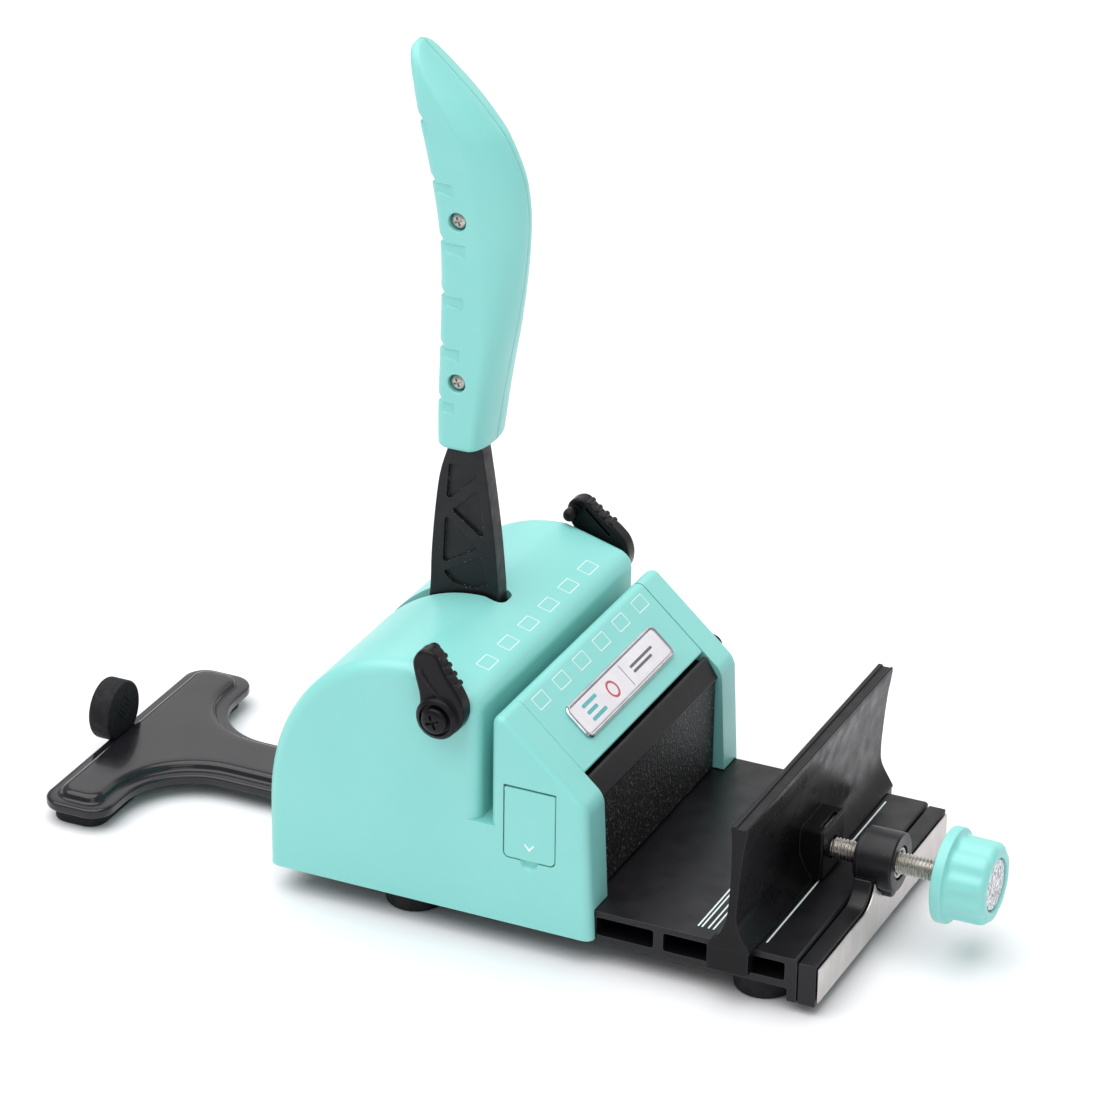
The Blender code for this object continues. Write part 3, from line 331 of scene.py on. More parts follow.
SLOT_FINISHES = {
    "mint_plastic": mint,
    "black_anodised": anodised,
    "black_lacquer": lacquer,
    "black_plastic": plastic,
    "black_cast": cast,
    "black_grain": grain,
    "rubber": rubber_black,
    "steel": steel,
    "zinc": zinc,
    "brushed_strip": brushed,
    "silver_trim": trim,
}
SLOT_NAMES = {material.name: slot for slot, material in SLOT_FINISHES.items()}
SLOT_NAMES.update({flakes.name: "silver_trim", card.name: "silver_trim"})


# ---------------------------------------------------------------- outlines

def arc(u, v, radius, start, end, steps):
    """Points along an arc, from start to end in degrees."""
    turns = [math.radians(start + (end - start) * i / steps) for i in range(steps + 1)]
    return [(u + radius * math.cos(turn), v + radius * math.sin(turn)) for turn in turns]


def rounded(corners, steps=8):
    """An outline of (u, v, radius) corners, with each corner filleted by its own radius."""
    points = []
    for i, (u, v, radius) in enumerate(corners):
        here = Vector((u, v))
        if radius <= 0:
            points.append((u, v))
            continue
        back = (Vector(corners[i - 1][:2]) - here).normalized()
        ahead = (Vector(corners[(i + 1) % len(corners)][:2]) - here).normalized()
        half = back.angle(ahead) / 2
        centre = here + (back + ahead).normalized() * (radius / math.sin(half))
        first = here + back * (radius / math.tan(half)) - centre
        turn = first.angle_signed(here + ahead * (radius / math.tan(half)) - centre)
        spokes = [Matrix.Rotation(-turn * step / steps, 2) @ first for step in range(steps + 1)]
        points += [tuple(centre + spoke) for spoke in spokes]
    return points


def rectangle(low, high, radius, steps=6):
    (west, south), (east, north) = low, high
    corners = ((west, south), (east, south), (east, north), (west, north))
    return rounded([(u, v, radius) for u, v in corners], steps)


def smooth_outline(knots, steps=6, closed=True):
    """A Catmull-Rom curve through the knots."""
    count = len(knots)
    points = []
    for i in range(count if closed else count - 1):
        picks = [i + k - 1 for k in range(4)]
        if not closed:
            picks = [min(max(k, 0), count - 1) for k in picks]
        a, b, c, d = (Vector(knots[k % count]) for k in picks)
        for step in range(steps):
            t = step / steps
            cubic = 2 * a * 0 + 2 * b + (c - a) * t + (2 * a - 5 * b + 4 * c - d) * t**2
            points.append(tuple(0.5 * (cubic + (3 * b - a - 3 * c + d) * t**3)))
    if not closed:
        points.append(tuple(knots[-1]))
    return points


def follow(knots, value):
    """The smooth curve through (value, result) knots, read at one value."""
    last = len(knots) - 2
    i = max(k for k in range(last + 1) if k == 0 or knots[k][0] <= value)
    a, b, c, d = (knots[min(max(i + k - 1, 0), last + 1)] for k in range(4))
    width = c[0] - b[0]
    t = min(max((value - b[0]) / width, 0.0), 1.0)
    rise_b = (c[1] - a[1]) / (c[0] - a[0]) * width
    rise_c = (d[1] - b[1]) / (d[0] - b[0]) * width
    square, cube = t * t, t * t * t
    start, end = (2 * cube - 3 * square + 1) * b[1], (3 * square - 2 * cube) * c[1]
    return start + end + (cube - 2 * square + t) * rise_b + (cube - square) * rise_c


# ---------------------------------------------------------------- meshes

AXES = {"XY": (0, 1, 2), "XZ": (0, 2, 1), "YZ": (1, 2, 0)}


def spot(plane, u, v, w):
    """The point at (u, v) in the plane and w across it."""
    where = [0.0, 0.0, 0.0]
    for axis, value in zip(AXES[plane], (u, v, w)):
        where[axis] = value
    return Vector(where) * MM


def new_object(name, shape):
    bmesh.ops.recalc_face_normals(shape, faces=shape.faces)
    mesh = bpy.data.meshes.new(name)
    shape.to_mesh(mesh)
    shape.free()
    obj = bpy.data.objects.new(name, mesh)
    bpy.context.scene.collection.objects.link(obj)
    return obj


def loft(name, rings, closed=True, caps=True):
    """A skin over rings of points in metres. A closed loft joins each ring's last point to its first."""
    shape = bmesh.new()
    rows = [[shape.verts.new(point) for point in ring] for ring in rings]
    count = len(rows[0])
    for lower, upper in zip(rows, rows[1:]):
        for i in range(count if closed else count - 1):
            j = (i + 1) % count
            shape.faces.new((lower[i], lower[j], upper[j], upper[i]))
    if caps:
        shape.faces.new(rows[0])
        shape.faces.new(rows[-1])
    return new_object(name, shape)


def prism(name, outline, plane, low, high):
    return loft(name, [[spot(plane, u, v, w) for u, v in outline] for w in (low, high)])


def plate(name, outline_at, plane, levels):
    """A plate lofted through (inset, height) levels of an outline that can be inset."""
    return loft(name, [[spot(plane, u, v, height) for u, v in outline_at(inset)] for inset, height in levels])


def block(name, low, high):
    (west, south, floor), (east, north, top) = low, high
    return prism(name, [(west, south), (east, south), (east, north), (west, north)], "XY", floor, top)


def ring(plane, u, v, radius, along, sides):
    """Points of a circle in a plane, at one place along its axis."""
    return [spot(plane, *point, along) for point in arc(u, v, radius, 0, 360, sides)[:-1]]


def turned(name, centre, axis, profile, sides=64):
    """A solid turned round an axis through the centre. The profile lists (place along the axis, radius)."""
    plane = {"X": "YZ", "Y": "XZ", "Z": "XY"}[axis]
    across = [centre[index] for index in AXES[plane][:2]]
    return loft(name, [ring(plane, *across, radius, along, sides) for along, radius in profile])


def rod(centre, axis, low, high, radius, sides):
    return turned("rod", centre, axis, [(low, radius), (high, radius)], sides)


def edge_profile(low, high, radius, edge, steps=4):
    """A cylinder's profile with both rims rounded."""
    first = [(low + edge - edge * math.cos(t), radius - edge + edge * math.sin(t)) for t in quarter(steps)]
    last = [(high - edge + edge * math.sin(t), radius - edge + edge * math.cos(t)) for t in quarter(steps)]
    return first + last


def quarter(steps):
    return [math.pi / 2 * i / steps for i in range(steps + 1)]


def bevel(obj, width, segments=3, angle=35):
    modifier = obj.modifiers.new("bevel", "BEVEL")
    modifier.width = width * MM
    modifier.segments = segments
    modifier.limit_method = "ANGLE"
    modifier.angle_limit = math.radians(angle)
    return obj


def settle(obj):
    """Applies the object's modifiers."""
    graph = bpy.context.evaluated_depsgraph_get()
    mesh = bpy.data.meshes.new_from_object(obj.evaluated_get(graph))
    obj.modifiers.clear()
    obj.data = mesh
    return obj


def combine(obj, operation, tools, solver):
    settle(obj)
    for tool in tools:
        settle(tool)
        modifier = obj.modifiers.new("combine", "BOOLEAN")
        modifier.operation = operation
        modifier.object = tool
        modifier.solver = solver
        settle(obj)
        bpy.data.objects.remove(tool, do_unlink=True)
    return obj


def cut(obj, *tools, solver="MANIFOLD"):
    return combine(obj, "DIFFERENCE", tools, solver)


def join(obj, *tools, solver="MANIFOLD"):
    return combine(obj, "UNION", tools, solver)


def gather(obj, *others):
    """Adds the other objects' meshes to this one, as separate shells."""
    shape = bmesh.new()
    for item in (obj, *others):
        settle(item)
        shape.from_mesh(item.data)
    shape.to_mesh(obj.data)
    shape.free()
    for item in others:
        bpy.data.objects.remove(item, do_unlink=True)
    return obj


def dress(obj, material, body, *nodes, sharp=34, flat=True):
    """Gives a finished piece its material and body, and hides the CAD nodes it stands for."""
    settle(obj)
    obj.data.materials.clear()
    obj.data.materials.append(material)
    obj.data.shade_smooth()
    obj.data.set_sharp_from_angle(angle=math.radians(sharp))
    if flat:
        modifier = obj.modifiers.new("flat_faces", "WEIGHTED_NORMAL")
        modifier.keep_sharp = True
        settle(obj)
    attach(obj, body)
    if nodes:
        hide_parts(*nodes)
    return obj


# ---------------------------------------------------------------- housing

housing_low, housing_high = span("main_housing")
HALF_WIDTH = housing_high.y
WALL = 2.5
SKIRT = housing_low.z
REAR = housing_low.x
NOSE_X, TOE_X = 39.0, 41.3
PEAK_X, PEAK_Z = -13.0, housing_high.z
SHOULDER_Z = 27.0
BACK_POWER = 2.1
TOP_FALL = 0.27
SLOT_REAR, SLOT_FRONT, SLOT_FLOOR = 7.6, 11.1, 36.0
COVER_X, COVER_Z, COVER_FALL = 17.1, 65.8, 0.89
CREST_RADIUS, NOSE_RADIUS = 2.5, 6.0
CHEEK = span("front_cover")[1].y + GAP
RIM_RADIUS = 3.6
FRONT_RIM_RADIUS = 2.6
MOUTH_RADIUS = 5.5
LEVER_SLOT_FRONT, LEVER_SLOT_HALF, LEVER_SLOT_LOW = -7.6, 3.9, 29.0


def top_height(x):
    return PEAK_Z - TOP_FALL * (x - PEAK_X)


def cover_height(x):
    return COVER_Z - COVER_FALL * (x - COVER_X)


def rear_body(inset, foot):
    """Side view behind the paper slot: a superellipse back that meets a gently falling top."""
    across, up = PEAK_X - REAR - inset, PEAK_Z - SHOULDER_Z - inset
    steps = 40
    back = []
    for i in range(steps + 1):
        angle = math.pi / 2 * i / steps
        x = PEAK_X - across * math.cos(angle) ** (2 / BACK_POWER)
        back.append((x, SHOULDER_Z + up * math.sin(angle) ** (2 / BACK_POWER), 0))
    front = SLOT_REAR - inset
    crest = [(x, top_height(x) - inset, 0) for x in (PEAK_X + 4.0, PEAK_X + 8.0)]
    mouth = (front, top_height(SLOT_REAR) - inset, max(MOUTH_RADIUS - inset, 0.5))
    return rounded([(REAR + inset, foot, 0)] + back + crest + [mouth, (front, foot, 0)], 10)


def front_body(inset, foot):
    """Side view in front of the paper slot, with its sloping top."""
    slope = math.hypot(1, COVER_FALL) * inset
    rear, nose = SLOT_FRONT + inset, NOSE_X - inset
    crest = (rear, cover_height(rear) - slope, max(CREST_RADIUS - inset, 0.8))
    brow = (nose, cover_height(nose) - slope, NOSE_RADIUS - inset)
    return rounded([(rear, foot, 0), crest, brow, (TOE_X - inset, foot, 0)], 8)


def pillow(name, outline_at, half, radius, steps=6):
    """An outline drawn out across the machine, with its two side rims rounded off."""
    turns = list(reversed(quarter(steps)))
    insets = [(radius - radius * math.sin(t), half - radius + radius * math.cos(t)) for t in turns]
    rims = [(inset, -y) for inset, y in reversed(insets)] + insets
    return loft(name, [[spot("XZ", x, z, y) for x, z in outline_at(inset)] for inset, y in rims])


def make_housing():
    shell = pillow("housing_shell", lambda inset: rear_body(inset, 0.0), HALF_WIDTH, RIM_RADIUS)
    front = pillow("front", lambda inset: front_body(inset, 0.0), HALF_WIDTH, FRONT_RIM_RADIUS)
    bridge_low, bridge_high = (2.0, -HALF_WIDTH, SKIRT), (17.0, HALF_WIDTH, SLOT_FLOOR)
    join(shell, front, block("bridge", bridge_low, bridge_high))
    inner = HALF_WIDTH - WALL
    far = 70.0
    deck_low, deck_high = span("base_deck")
    wall_low = (SLOT_REAR - WALL - 0.5, -inner, 0)
    wall_high = (SLOT_FRONT + WALL + 0.5, inner, SLOT_FLOOR - WALL)
    seat_high = (60.0, deck_high.y + GAP, deck_high.z + GAP)
    cut(
        shell,
        block("under", (-far, -far, -5.0), (far, far, SKIRT)),
        prism("room", rear_body(WALL, -2.0), "XZ", -inner, inner),
        block("slot_wall", wall_low, wall_high),
        *[
            prism("cheek_room", front_body(WALL, -2.0), "XZ", *sorted((side * inner, side * (CHEEK + WALL))))
            for side in (-1, 1)
        ],
        block("jaw_room", (SLOT_FRONT + WALL, -CHEEK, 0.0), (60.0, CHEEK, 90.0)),
        block("cover_seat", (SLOT_FRONT - 1.0, -CHEEK, 61.5), (60.0, CHEEK, 90.0)),
        block("deck_seat", (deck_low.x - 0.4, deck_low.y - GAP, 0.0), seat_high),
        prism(
            "lever_slot",
            rectangle((-far, -LEVER_SLOT_HALF), (LEVER_SLOT_FRONT, LEVER_SLOT_HALF), 2.6, 8),
            "XY", LEVER_SLOT_LOW, 90.0,
        ),
        block("arm_door", (REAR - 3.0, -13.5, 0.0), (REAR + 6.0, 13.5, 12.0)),
        block("pin_door", (4.0, -36.0, 38.8), (15.0, 36.0, 45.2)),
    )
    cut_hatch_opening(shell)
    for side, word in SIDES:
        pivot = joint_point(f"{word}_guide_pivot")
        near, end = sorted((side * 46.0, side * 52.0))
        cut(shell, rod(pivot, "Y", near, end, 2.3, 32))
    dress(shell, mint, "root", "main_housing", sharp=28)


HATCH_LOW, HATCH_HIGH = (15.3, 27.8), (30.0, 48.6)
HATCH_CENTRE = (HATCH_LOW[0] + HATCH_HIGH[0]) / 2


def hatch_outline(margin, top_gap, heel, crown):
    """The chip door's outline, grown by a margin and by a wider gap at the top."""
    left, foot = (value - margin for value in HATCH_LOW)
    right, top = HATCH_HIGH[0] + margin, HATCH_HIGH[1] + top_gap
    return rounded([(left, foot, heel), (right, foot, heel), (right, top, crown), (left, top, crown)], 8)


def cut_hatch_opening(shell):
    outside, inside = -HALF_WIDTH - 1.0, -HALF_WIDTH + WALL + 0.5
    notch = [(outside, 3.1), (-HALF_WIDTH, 2.7), (1.2 - HALF_WIDTH, 1.8)]
    hinge = joint_point("hatch_hinge")
    cut(
        shell,
        prism("hatch_hole", hatch_outline(0.3, 0.7, 1.8, 0.2), "XZ", outside, inside),
        block("chip_door", (16.5, -CHEEK - WALL - 1.0, 29.0), (28.5, -CHEEK + 1.0, 45.0)),
        turned("thumb_notch", (HATCH_CENTRE, 0, 27.6), "Y", notch, 40),
        rod(hinge, "X", 13.8, 31.5, 1.0, 24),
    )


def make_cover():
    """The sloping panel between the cheeks, with a lip that turns down behind the die."""
    low, high = span("front_cover")
    fall = math.hypot(1, COVER_FALL)
    along = Vector((1, -COVER_FALL)) / fall
    down = Vector((-COVER_FALL, -1)) / fall
    start = Vector((SLOT_FRONT, cover_height(SLOT_FRONT)))
    end = Vector((high.x, cover_height(high.x)))
    under_end = end + down * WALL
    lip = SLOT_FRONT + WALL
    under_start = under_end - along * ((under_end.x - lip) / along.x)
    corners = [(*start, CREST_RADIUS), (*end, 0.6), (*under_end, 0), (*under_start, 0)]
    outline = rounded(corners + [(lip, low.z, 0), (SLOT_FRONT, low.z, 0)], 10)
    cover = prism("sloping_cover", outline, "XZ", low.y, high.y)
    bevel(cover, 0.3, 3)
    dress(cover, mint, "root", "front_cover")


def make_hatch():
    """The chip door with its two stub pivots, and a plain printed arrow."""
    low, high = span("hatch_door")
    hinge = joint_point("hatch_hinge")
    door = prism("chip_hatch", hatch_outline(0.0, 0.0, 1.5, 0.5), "XZ", low.y, high.y)
    bevel(door, 0.3, 3)
    dress(join(door, rod(hinge, "X", 14.1, 31.2, 0.65, 20)), mint, "hatch", "hatch_door")
    arrow = [(-1.5, 0.9), (0.0, -0.9), (1.5, 0.9), (1.1, 1.25), (0.0, -0.05), (-1.1, 1.25)]
    arrow = [(HATCH_CENTRE + x, 31.6 + z) for x, z in arrow]
    mark = prism("hatch_arrow", arrow, "XZ", low.y - 0.03, low.y + 0.02)
    dress(mark, print_white, "hatch")


def make_hole_marks():
    """Outlined squares, one over each punch pin, in two rows that follow the top and the cover."""
    rows = (
        ("top_marks", 1.35, top_height, TOP_FALL),
        ("cover_marks", COVER_X, cover_height, COVER_FALL),
    )
    for name, x, height, fall in rows:
        squares = []
        for number in range(1, 7):
            place = Vector((x, middle(f"punch_pin_{number}").y, height(x))) * MM
            squares.append(square_mark(name + "_square", 4.0, 6.5, 0.24))
            squares[-1].data.transform(Matrix.Translation(place) @ Matrix.Rotation(math.atan(fall), 4, "Y"))
        squares[0].name = name
        dress(gather(*squares), print_white, "root")


def square_mark(name, length, width, line):
    """A thin raised frame of printed line, lying flat at the origin."""
    rings = []
    for grow, height in ((0, -0.02), (0, 0.025), (line, 0.025), (line, -0.02)):
        half = (length / 2 - grow, width / 2 - grow)
        rings.append([spot("XY", u, v, height) for u, v in rectangle((-half[0], -half[1]), half, 0.25, 3)])
    return loft(name, rings + rings[:1], caps=False)


def make_plug():
    low, high = span("cheek_plug")
    radius, crown = (high.z - low.z) / 2, 1.4
    profile = [(low.y, radius - 0.2), (low.y + 0.2, radius)]
    for t in quarter(8):
        profile.append((high.y - crown + crown * math.sin(t), radius * (0.35 + 0.65 * math.cos(t))))
    dress(turned("side_plug", middle("cheek_plug"), "Y", profile), plastic, "root", "cheek_plug")


# ---------------------------------------------------------------- label

INK_LOW, INK_HIGH = 0.68, 0.75


def make_label():
    """A raised plate: bright bevelled rim, and a glossy printed card with generic bars."""
    half_short, half_long, lift = 5.4, span("label_plate")[1].y, 0.25
    x = middle("label_plate").x
    turn = Matrix.Rotation(math.atan(COVER_FALL), 4, "Y")
    normal = turn @ Vector((0, 0, 1))
    centre = Vector((x - 0.3 * normal.x, 0, cover_height(x) + lift)) * MM
    place = Matrix.Translation(centre) @ turn

    def outline_at(inset):
        half = (half_short - inset, half_long - inset)
        return rectangle((-half[0], -half[1]), half, max(2.4 - inset, 0.4), 8)

    rim_levels = [(0.1, 0.0), (0.0, 0.15), (0.0, 0.55), (0.25, 0.85), (0.6, 0.95), (1.0, 0.8), (1.1, 0.45)]
    rim = plate("label_rim", outline_at, "XY", rim_levels + [(1.15, 0.1)])
    face = plate("label_card", outline_at, "XY", [(1.1, 0.2), (1.15, 0.6), (1.3, 0.68), (1.8, 0.72)])
    marks = [
        ("label_divider", [block("line", (-3.4, 3.2, INK_LOW), (3.4, 3.45, INK_HIGH))], ink_grey),
        ("label_bars_teal", label_bars(-21.5, -13.0, 3, 1.1), ink_teal),
        ("label_ring_red", [label_ring(-5.5)], ink_red),
        ("label_bars_grey", label_bars(7.0, 21.0, 2, 0.8), ink_grey),
    ]
    for piece, material, nodes in ((rim, trim, ["label_plate"]), (face, card, [])):
        piece.data.transform(place)
        dress(piece, material, "root", *nodes)
    for name, pieces, material in marks:
        pieces[0].name = name
        mark = gather(*pieces)
        mark.data.transform(place)
        dress(mark, material, "root")


def label_bars(start, end, count, width):
    """Rounded bars of different lengths, side by side."""
    bars = []
    for i in range(count):
        x = (i - (count - 1) / 2) * width * 2.0
        stop = end - 2.4 * (i % 2)
        outline = rectangle((x - width / 2, start), (x + width / 2, stop), width * 0.45, 4)
        bars.append(prism("bar", outline, "XY", INK_LOW, INK_HIGH))
    return bars


def label_ring(y):
    rings = []
    for radius, height in ((2.6, INK_LOW), (2.6, INK_HIGH), (1.9, INK_HIGH), (1.9, INK_LOW)):
        rings.append(ring("XY", 0, y, radius, height, 40))
    return loft("ring", rings + rings[:1], caps=False)


# ---------------------------------------------------------------- base

def make_deck():
    low, high = span("base_deck")
    leg, lip = high.x - 2.6, 6.9
    corners = [
        (low.x, lip, 0.4), (leg, lip, 0.6), (leg, low.z, 0.3), (high.x, low.z, 0.3),
        (high.x, high.z, 0.9), (low.x, high.z, 0.6),
    ]
    deck = prism("deck_extrusion", rounded(corners, 4), "XZ", low.y, high.y)
    cells = ((-46.5, -25.0), (-22.0, -1.0), (2.0, 22.0), (25.0, 38.0), (41.0, 57.4), (60.2, 77.6), (80.2, 94.6))
    tools = []
    for start, end in cells:
        tools.append(prism("cell", rectangle((start, 9.0), (end, 14.3), 0.7, 4), "XZ", -60.0, 60.0))
    rear, front, screw = middle("foot_rear_left"), middle("foot_front_left"), middle("arm_screw_left")
    for centre, radius, sides in ((rear, 3.3, 24), (front, 3.3, 24), (screw, 2.1, 20)):
        tools += [rod((centre.x, side * centre.y, 0), "Z", 6.0, 9.5, radius, sides) for side in (-1, 1)]
    cut(deck, *tools)
    bevel(deck, 0.18, 2, 50)
    dress(deck, anodised, "root", "base_deck")
    lines = []
    for x in (68.0, 69.1, 70.9, 72.3, 87.4):
        outline = rectangle((x - 0.24, -42.4), (x + 0.24, 42.4), 0.2, 3)
        lines.append(prism("deck_lines", outline, "XY", high.z - 0.02, high.z + 0.03))
    dress(gather(*lines), print_white, "root")


def make_feet():
    for end in ("rear", "front"):
        for _, word in SIDES:
            node = f"foot_{end}_{word}"
            low, high = span(node)
            radius, top = (high.x - low.x) / 2, 6.6
            profile = [(0.0, 2.6), (0.5, 2.9), (0.5, 5.6), (0.0, 5.9), (0.0, radius - 1.6)]
            profile += [(1.0 - math.cos(t), radius - 1.6 + 1.3 * math.sin(t)) for t in quarter(5)[1:]]
            profile += [(top - 0.4, radius), (top, radius - 0.4), (top, 3.0), (high.z, 3.0)]
            dress(turned("rubber_" + node, middle(node), "Z", profile), rubber_black, "root", node)


def hump(edge, base, top, margin):
    """The end plate's outline: a long bar whose middle flows up to the screw boss."""
    reach, radius = 16.0 - margin, 7.0 + margin
    right = [(edge, base), (edge, top)]
    fillet = arc(reach, top + radius, radius, 270, 190, 14)
    return right + fillet + [(-y, z) for y, z in reversed(fillet)] + [(-edge, top), (-edge, base)]


def make_end_plate():
    low, high = span("end_plate")
    face, boss_radius = 103.2, 8.2
    body = prism("end_block", hump(high.y, 3.0, 15.2, 0.0), "YZ", low.x + 1.5, face)
    bevel(body, 0.35, 3)
    screw = joint_point("knob_spin")
    boss_profile = [(98.4, boss_radius)] + edge_profile(98.5, high.x, boss_radius, 0.7)[5:]
    boss = turned("boss", screw, "X", boss_profile)
    spigot = turned("spigot", screw, "X", edge_profile(low.x, 100.0, 7.0, 0.4))
    join(body, boss, spigot)
    lug_centre = (0, 0, screw.z - boss_radius + 0.6)
    join(body, turned("lug", lug_centre, "X", edge_profile(99.0, high.x - 1.4, 3.0, 0.8), 32))
    bore = rod(screw, "X", 95.0, 110.0, 4.8, 48)
    dress(cut(body, bore), anodised, "root", "end_plate")
    strip_low, strip_high = span("end_strip")
    strip = prism("silver_strip", hump(strip_high.y, strip_low.z, 14.2, 0.8), "YZ", strip_low.x, strip_high.x)
    bevel(strip, 0.12, 2)
    hole = rod(screw, "X", 102.0, 106.0, boss_radius + 0.4, 64)
    dress(cut(strip, hole), brushed, "root", "end_strip")
    sleeve_low, sleeve_high = span("thread_insert")
    bush = [(sleeve_low.x, 4.5), (sleeve_high.x - 0.4, 4.5), (sleeve_high.x, 4.1), (sleeve_high.x, 3.6)]
    bush += [(sleeve_high.x - 0.4, 3.3), (sleeve_low.x, 3.3)]
    rings = [ring("YZ", screw.y, screw.z, radius, along, 48) for along, radius in bush + bush[:1]]
    dress(loft("threaded_bush", rings, caps=False), zinc, "root", "thread_insert")


def stabiliser_outline(inset):
    """A T: an arm out of the housing and a cross bar, joined by wide concave fillets."""
    low, high = span("stabiliser_arm")
    bar_front = low.x + 20.5
    half, arm, inner = high.y - inset, 12.5 - inset, 20.0 + inset
    corner = 6.5 - inset * 0.6
    upper = rounded(
        [(REAR - 2.0, arm, 0), (bar_front - inset, arm, inner), (bar_front - inset, half, corner)]
        + [(low.x + inset, half, corner), (low.x + inset, 0.0, 0)],
        12,
    )
    return upper[:-1] + [(x, -y) for x, y in reversed(upper[:-1])]


def make_stabiliser():
    """A pressed T: a flat rim, a rounded step and a raised glossy crown."""
    levels = [(0.7, 4.2), (0.2, 4.35), (0.0, 4.8), (0.0, 6.3), (0.2, 6.75), (0.7, 7.0), (2.6, 7.0)]
    levels += [(3.1, 7.08), (3.45, 7.35), (3.65, 7.8), (3.85, 8.3), (4.2, 8.75), (4.8, 9.05)]
    levels += [(5.6, 9.2), (7.5, 9.2)]
    crown = plate("stabiliser_crown", stabiliser_outline, "XY", levels)
    low, high = span("stabiliser_arm")
    tongue = block("tongue", (REAR - 4.0, -11.7, low.z), (high.x, 11.7, 6.6))
    bevel(tongue, 0.4, 2)
    join(crown, tongue)
    for word in ("left", "right"):
        cut(crown, rod(middle(f"arm_screw_{word}"), "Z", 0.0, 12.0, 2.1, 24))
    dress(crown, lacquer, "root", "stabiliser_arm", sharp=50)
    pad_low, pad_high = span("stabiliser_pad")

    def pad_outline(inset):
        low_corner = (pad_low.x + inset, pad_low.y + inset)
        return rectangle(low_corner, (pad_high.x - inset, pad_high.y - inset), 5.0 - inset, 8)

    levels = [(0.5, pad_low.z), (0.1, 0.25), (0.0, 0.6), (0.0, pad_high.z)]
    dress(plate("rubber_pad", pad_outline, "XY", levels), rubber_black, "root", "stabiliser_pad")


def make_rest_bumper():
    """A thick rubber disc with a crowned face, a shoulder cut low on each side and fine diagonal ridges."""
    low, high = span("rest_knob")
    centre = middle("rest_knob")
    radius = (high.y - low.y) / 2
    profile = [(low.x + 1.3 - 1.3 * math.sin(t), radius - 1.3 + 1.3 * math.cos(t)) for t in quarter(6)]
    crown = [(low.x + 0.05, radius * 0.6), (low.x, radius * 0.3), (low.x, 0.6)]
    back = [(high.x - 0.5, radius), (high.x - 0.15, radius - 0.2), (high.x, radius - 0.6)]
    disc = turned("rest_bumper", centre, "X", list(reversed(profile + crown)) + back, 72)
    notches = []
    for shoulder in (-10.4, 10.4):
        notches.append(block("notch", (low.x - 2, shoulder - 2.2, 3.0), (high.x + 2, shoulder + 2.2, 10.6)))
    bar_rear = span("stabiliser_arm")[0].x
    notches.append(block("notch", (bar_rear - GAP, -radius, 0.0), (high.x + 2, radius, 7.3)))
    cut(disc, *notches)
    bevel(disc, 0.25, 2, 50)
    ridges = []
    for shift in (-1.8, -0.9, 0.0, 0.9, 1.8):
        ridge = block("ridge", (high.x - 0.1, -2.6, -0.22), (high.x + 0.22, 2.6, 0.22))
        place = Vector((0, shift, centre.z + 1.6 + shift)) * MM
        ridge.data.transform(Matrix.Translation(place) @ Matrix.Rotation(math.radians(-45), 4, "X"))
        ridges.append(ridge)
    dress(gather(disc, *ridges), rubber_black, "root", "rest_knob", sharp=45)


def cross_screw(name, centre, axis, outward, head, shank, head_high, tip, recess=0.55):
    """A pan-head screw with a cross recess. Outward is +1 or -1 along the axis, from shank to head."""
    index = "XYZ".index(axis)
    base = centre[index]
    profile = [(tip, shank - 0.3), (tip + outward * 0.4, shank), (base, shank), (base, head)]
    rim = 0.25
    for t in quarter(8):
        rise = rim + (head_high - rim) * math.sin(t)
        profile.append((base + outward * rise, head * (0.25 + 0.75 * math.cos(t))))
    screw = turned(name, centre, axis, profile, 48)
    top = base + outward * (head_high + 0.1)
    deep = base + outward * head_high * 0.35
    plane = {"X": "YZ", "Y": "XZ", "Z": "XY"}[axis]
    across = [centre[i] for i in AXES[plane][:2]]
    arms = []
    for turn in (25, 115):
        reach, width = head * recess, head * 0.13
        corners = [(-reach, -width), (reach, -width), (reach, width), (-reach, width)]
        spin = Matrix.Rotation(math.radians(turn), 2)
        outline = [tuple(Vector(across) + spin @ Vector(corner)) for corner in corners]
        arms.append(prism("recess", outline, plane, *sorted((deep, top))))
    return cut(screw, *arms)


def make_screws():
    for word in ("left", "right"):
        low, high = span(f"arm_screw_{word}")
        centre = middle(f"arm_screw_{word}")
        centre.z = 3.5
        screw = cross_screw(f"arm_bolt_{word}", centre, "Z", -1, 3.4, 1.8, 3.5 - low.z, high.z)
        dress(screw, zinc, "root", f"arm_screw_{word}")
    for word in ("lower", "upper"):
        centre = middle(f"grip_screw_{word}")
        centre.y = -8.2
        tip = span(f"grip_screw_{word}")[1].y
        screw = cross_screw(f"grip_bolt_{word}", centre, "Y", -1, 2.2, 1.8, 1.0, tip)
        dress(screw, zinc, "handle", f"grip_screw_{word}")


# ---------------------------------------------------------------- jaw, fence and knob

def make_jaw():
    low, high = span("closing_jaw")
    outline = [
        (36.4, low.z, 0.3), (36.4, 43.9, 0.15), (37.5, 43.9, 0.2), (high.x, 44.6, 0.4), (34.3, 50.6, 0.8),
        (33.5, 50.1, 0.4), (32.9, 48.6, 0.3), (low.x, 48.6, 0.3), (low.x, 46.3, 0.3), (31.2, 46.3, 0.5),
        (31.2, low.z, 0.3),
    ]
    jaw = prism("jaw_block", rounded(outline, 4), "XZ", low.y, high.y)
    bevel(jaw, 0.25, 3)
    dress(jaw, anodised, "jaw", "closing_jaw")
    face_low, face_high = span("jaw_face_plate")
    face_outline = rectangle(face_low.yz, face_high.yz, 0.5, 4)
    face = prism("jaw_grain_face", face_outline, "YZ", face_low.x, face_high.x)
    bevel(face, 0.15, 2)
    dress(face, grain, "jaw", "jaw_face_plate")


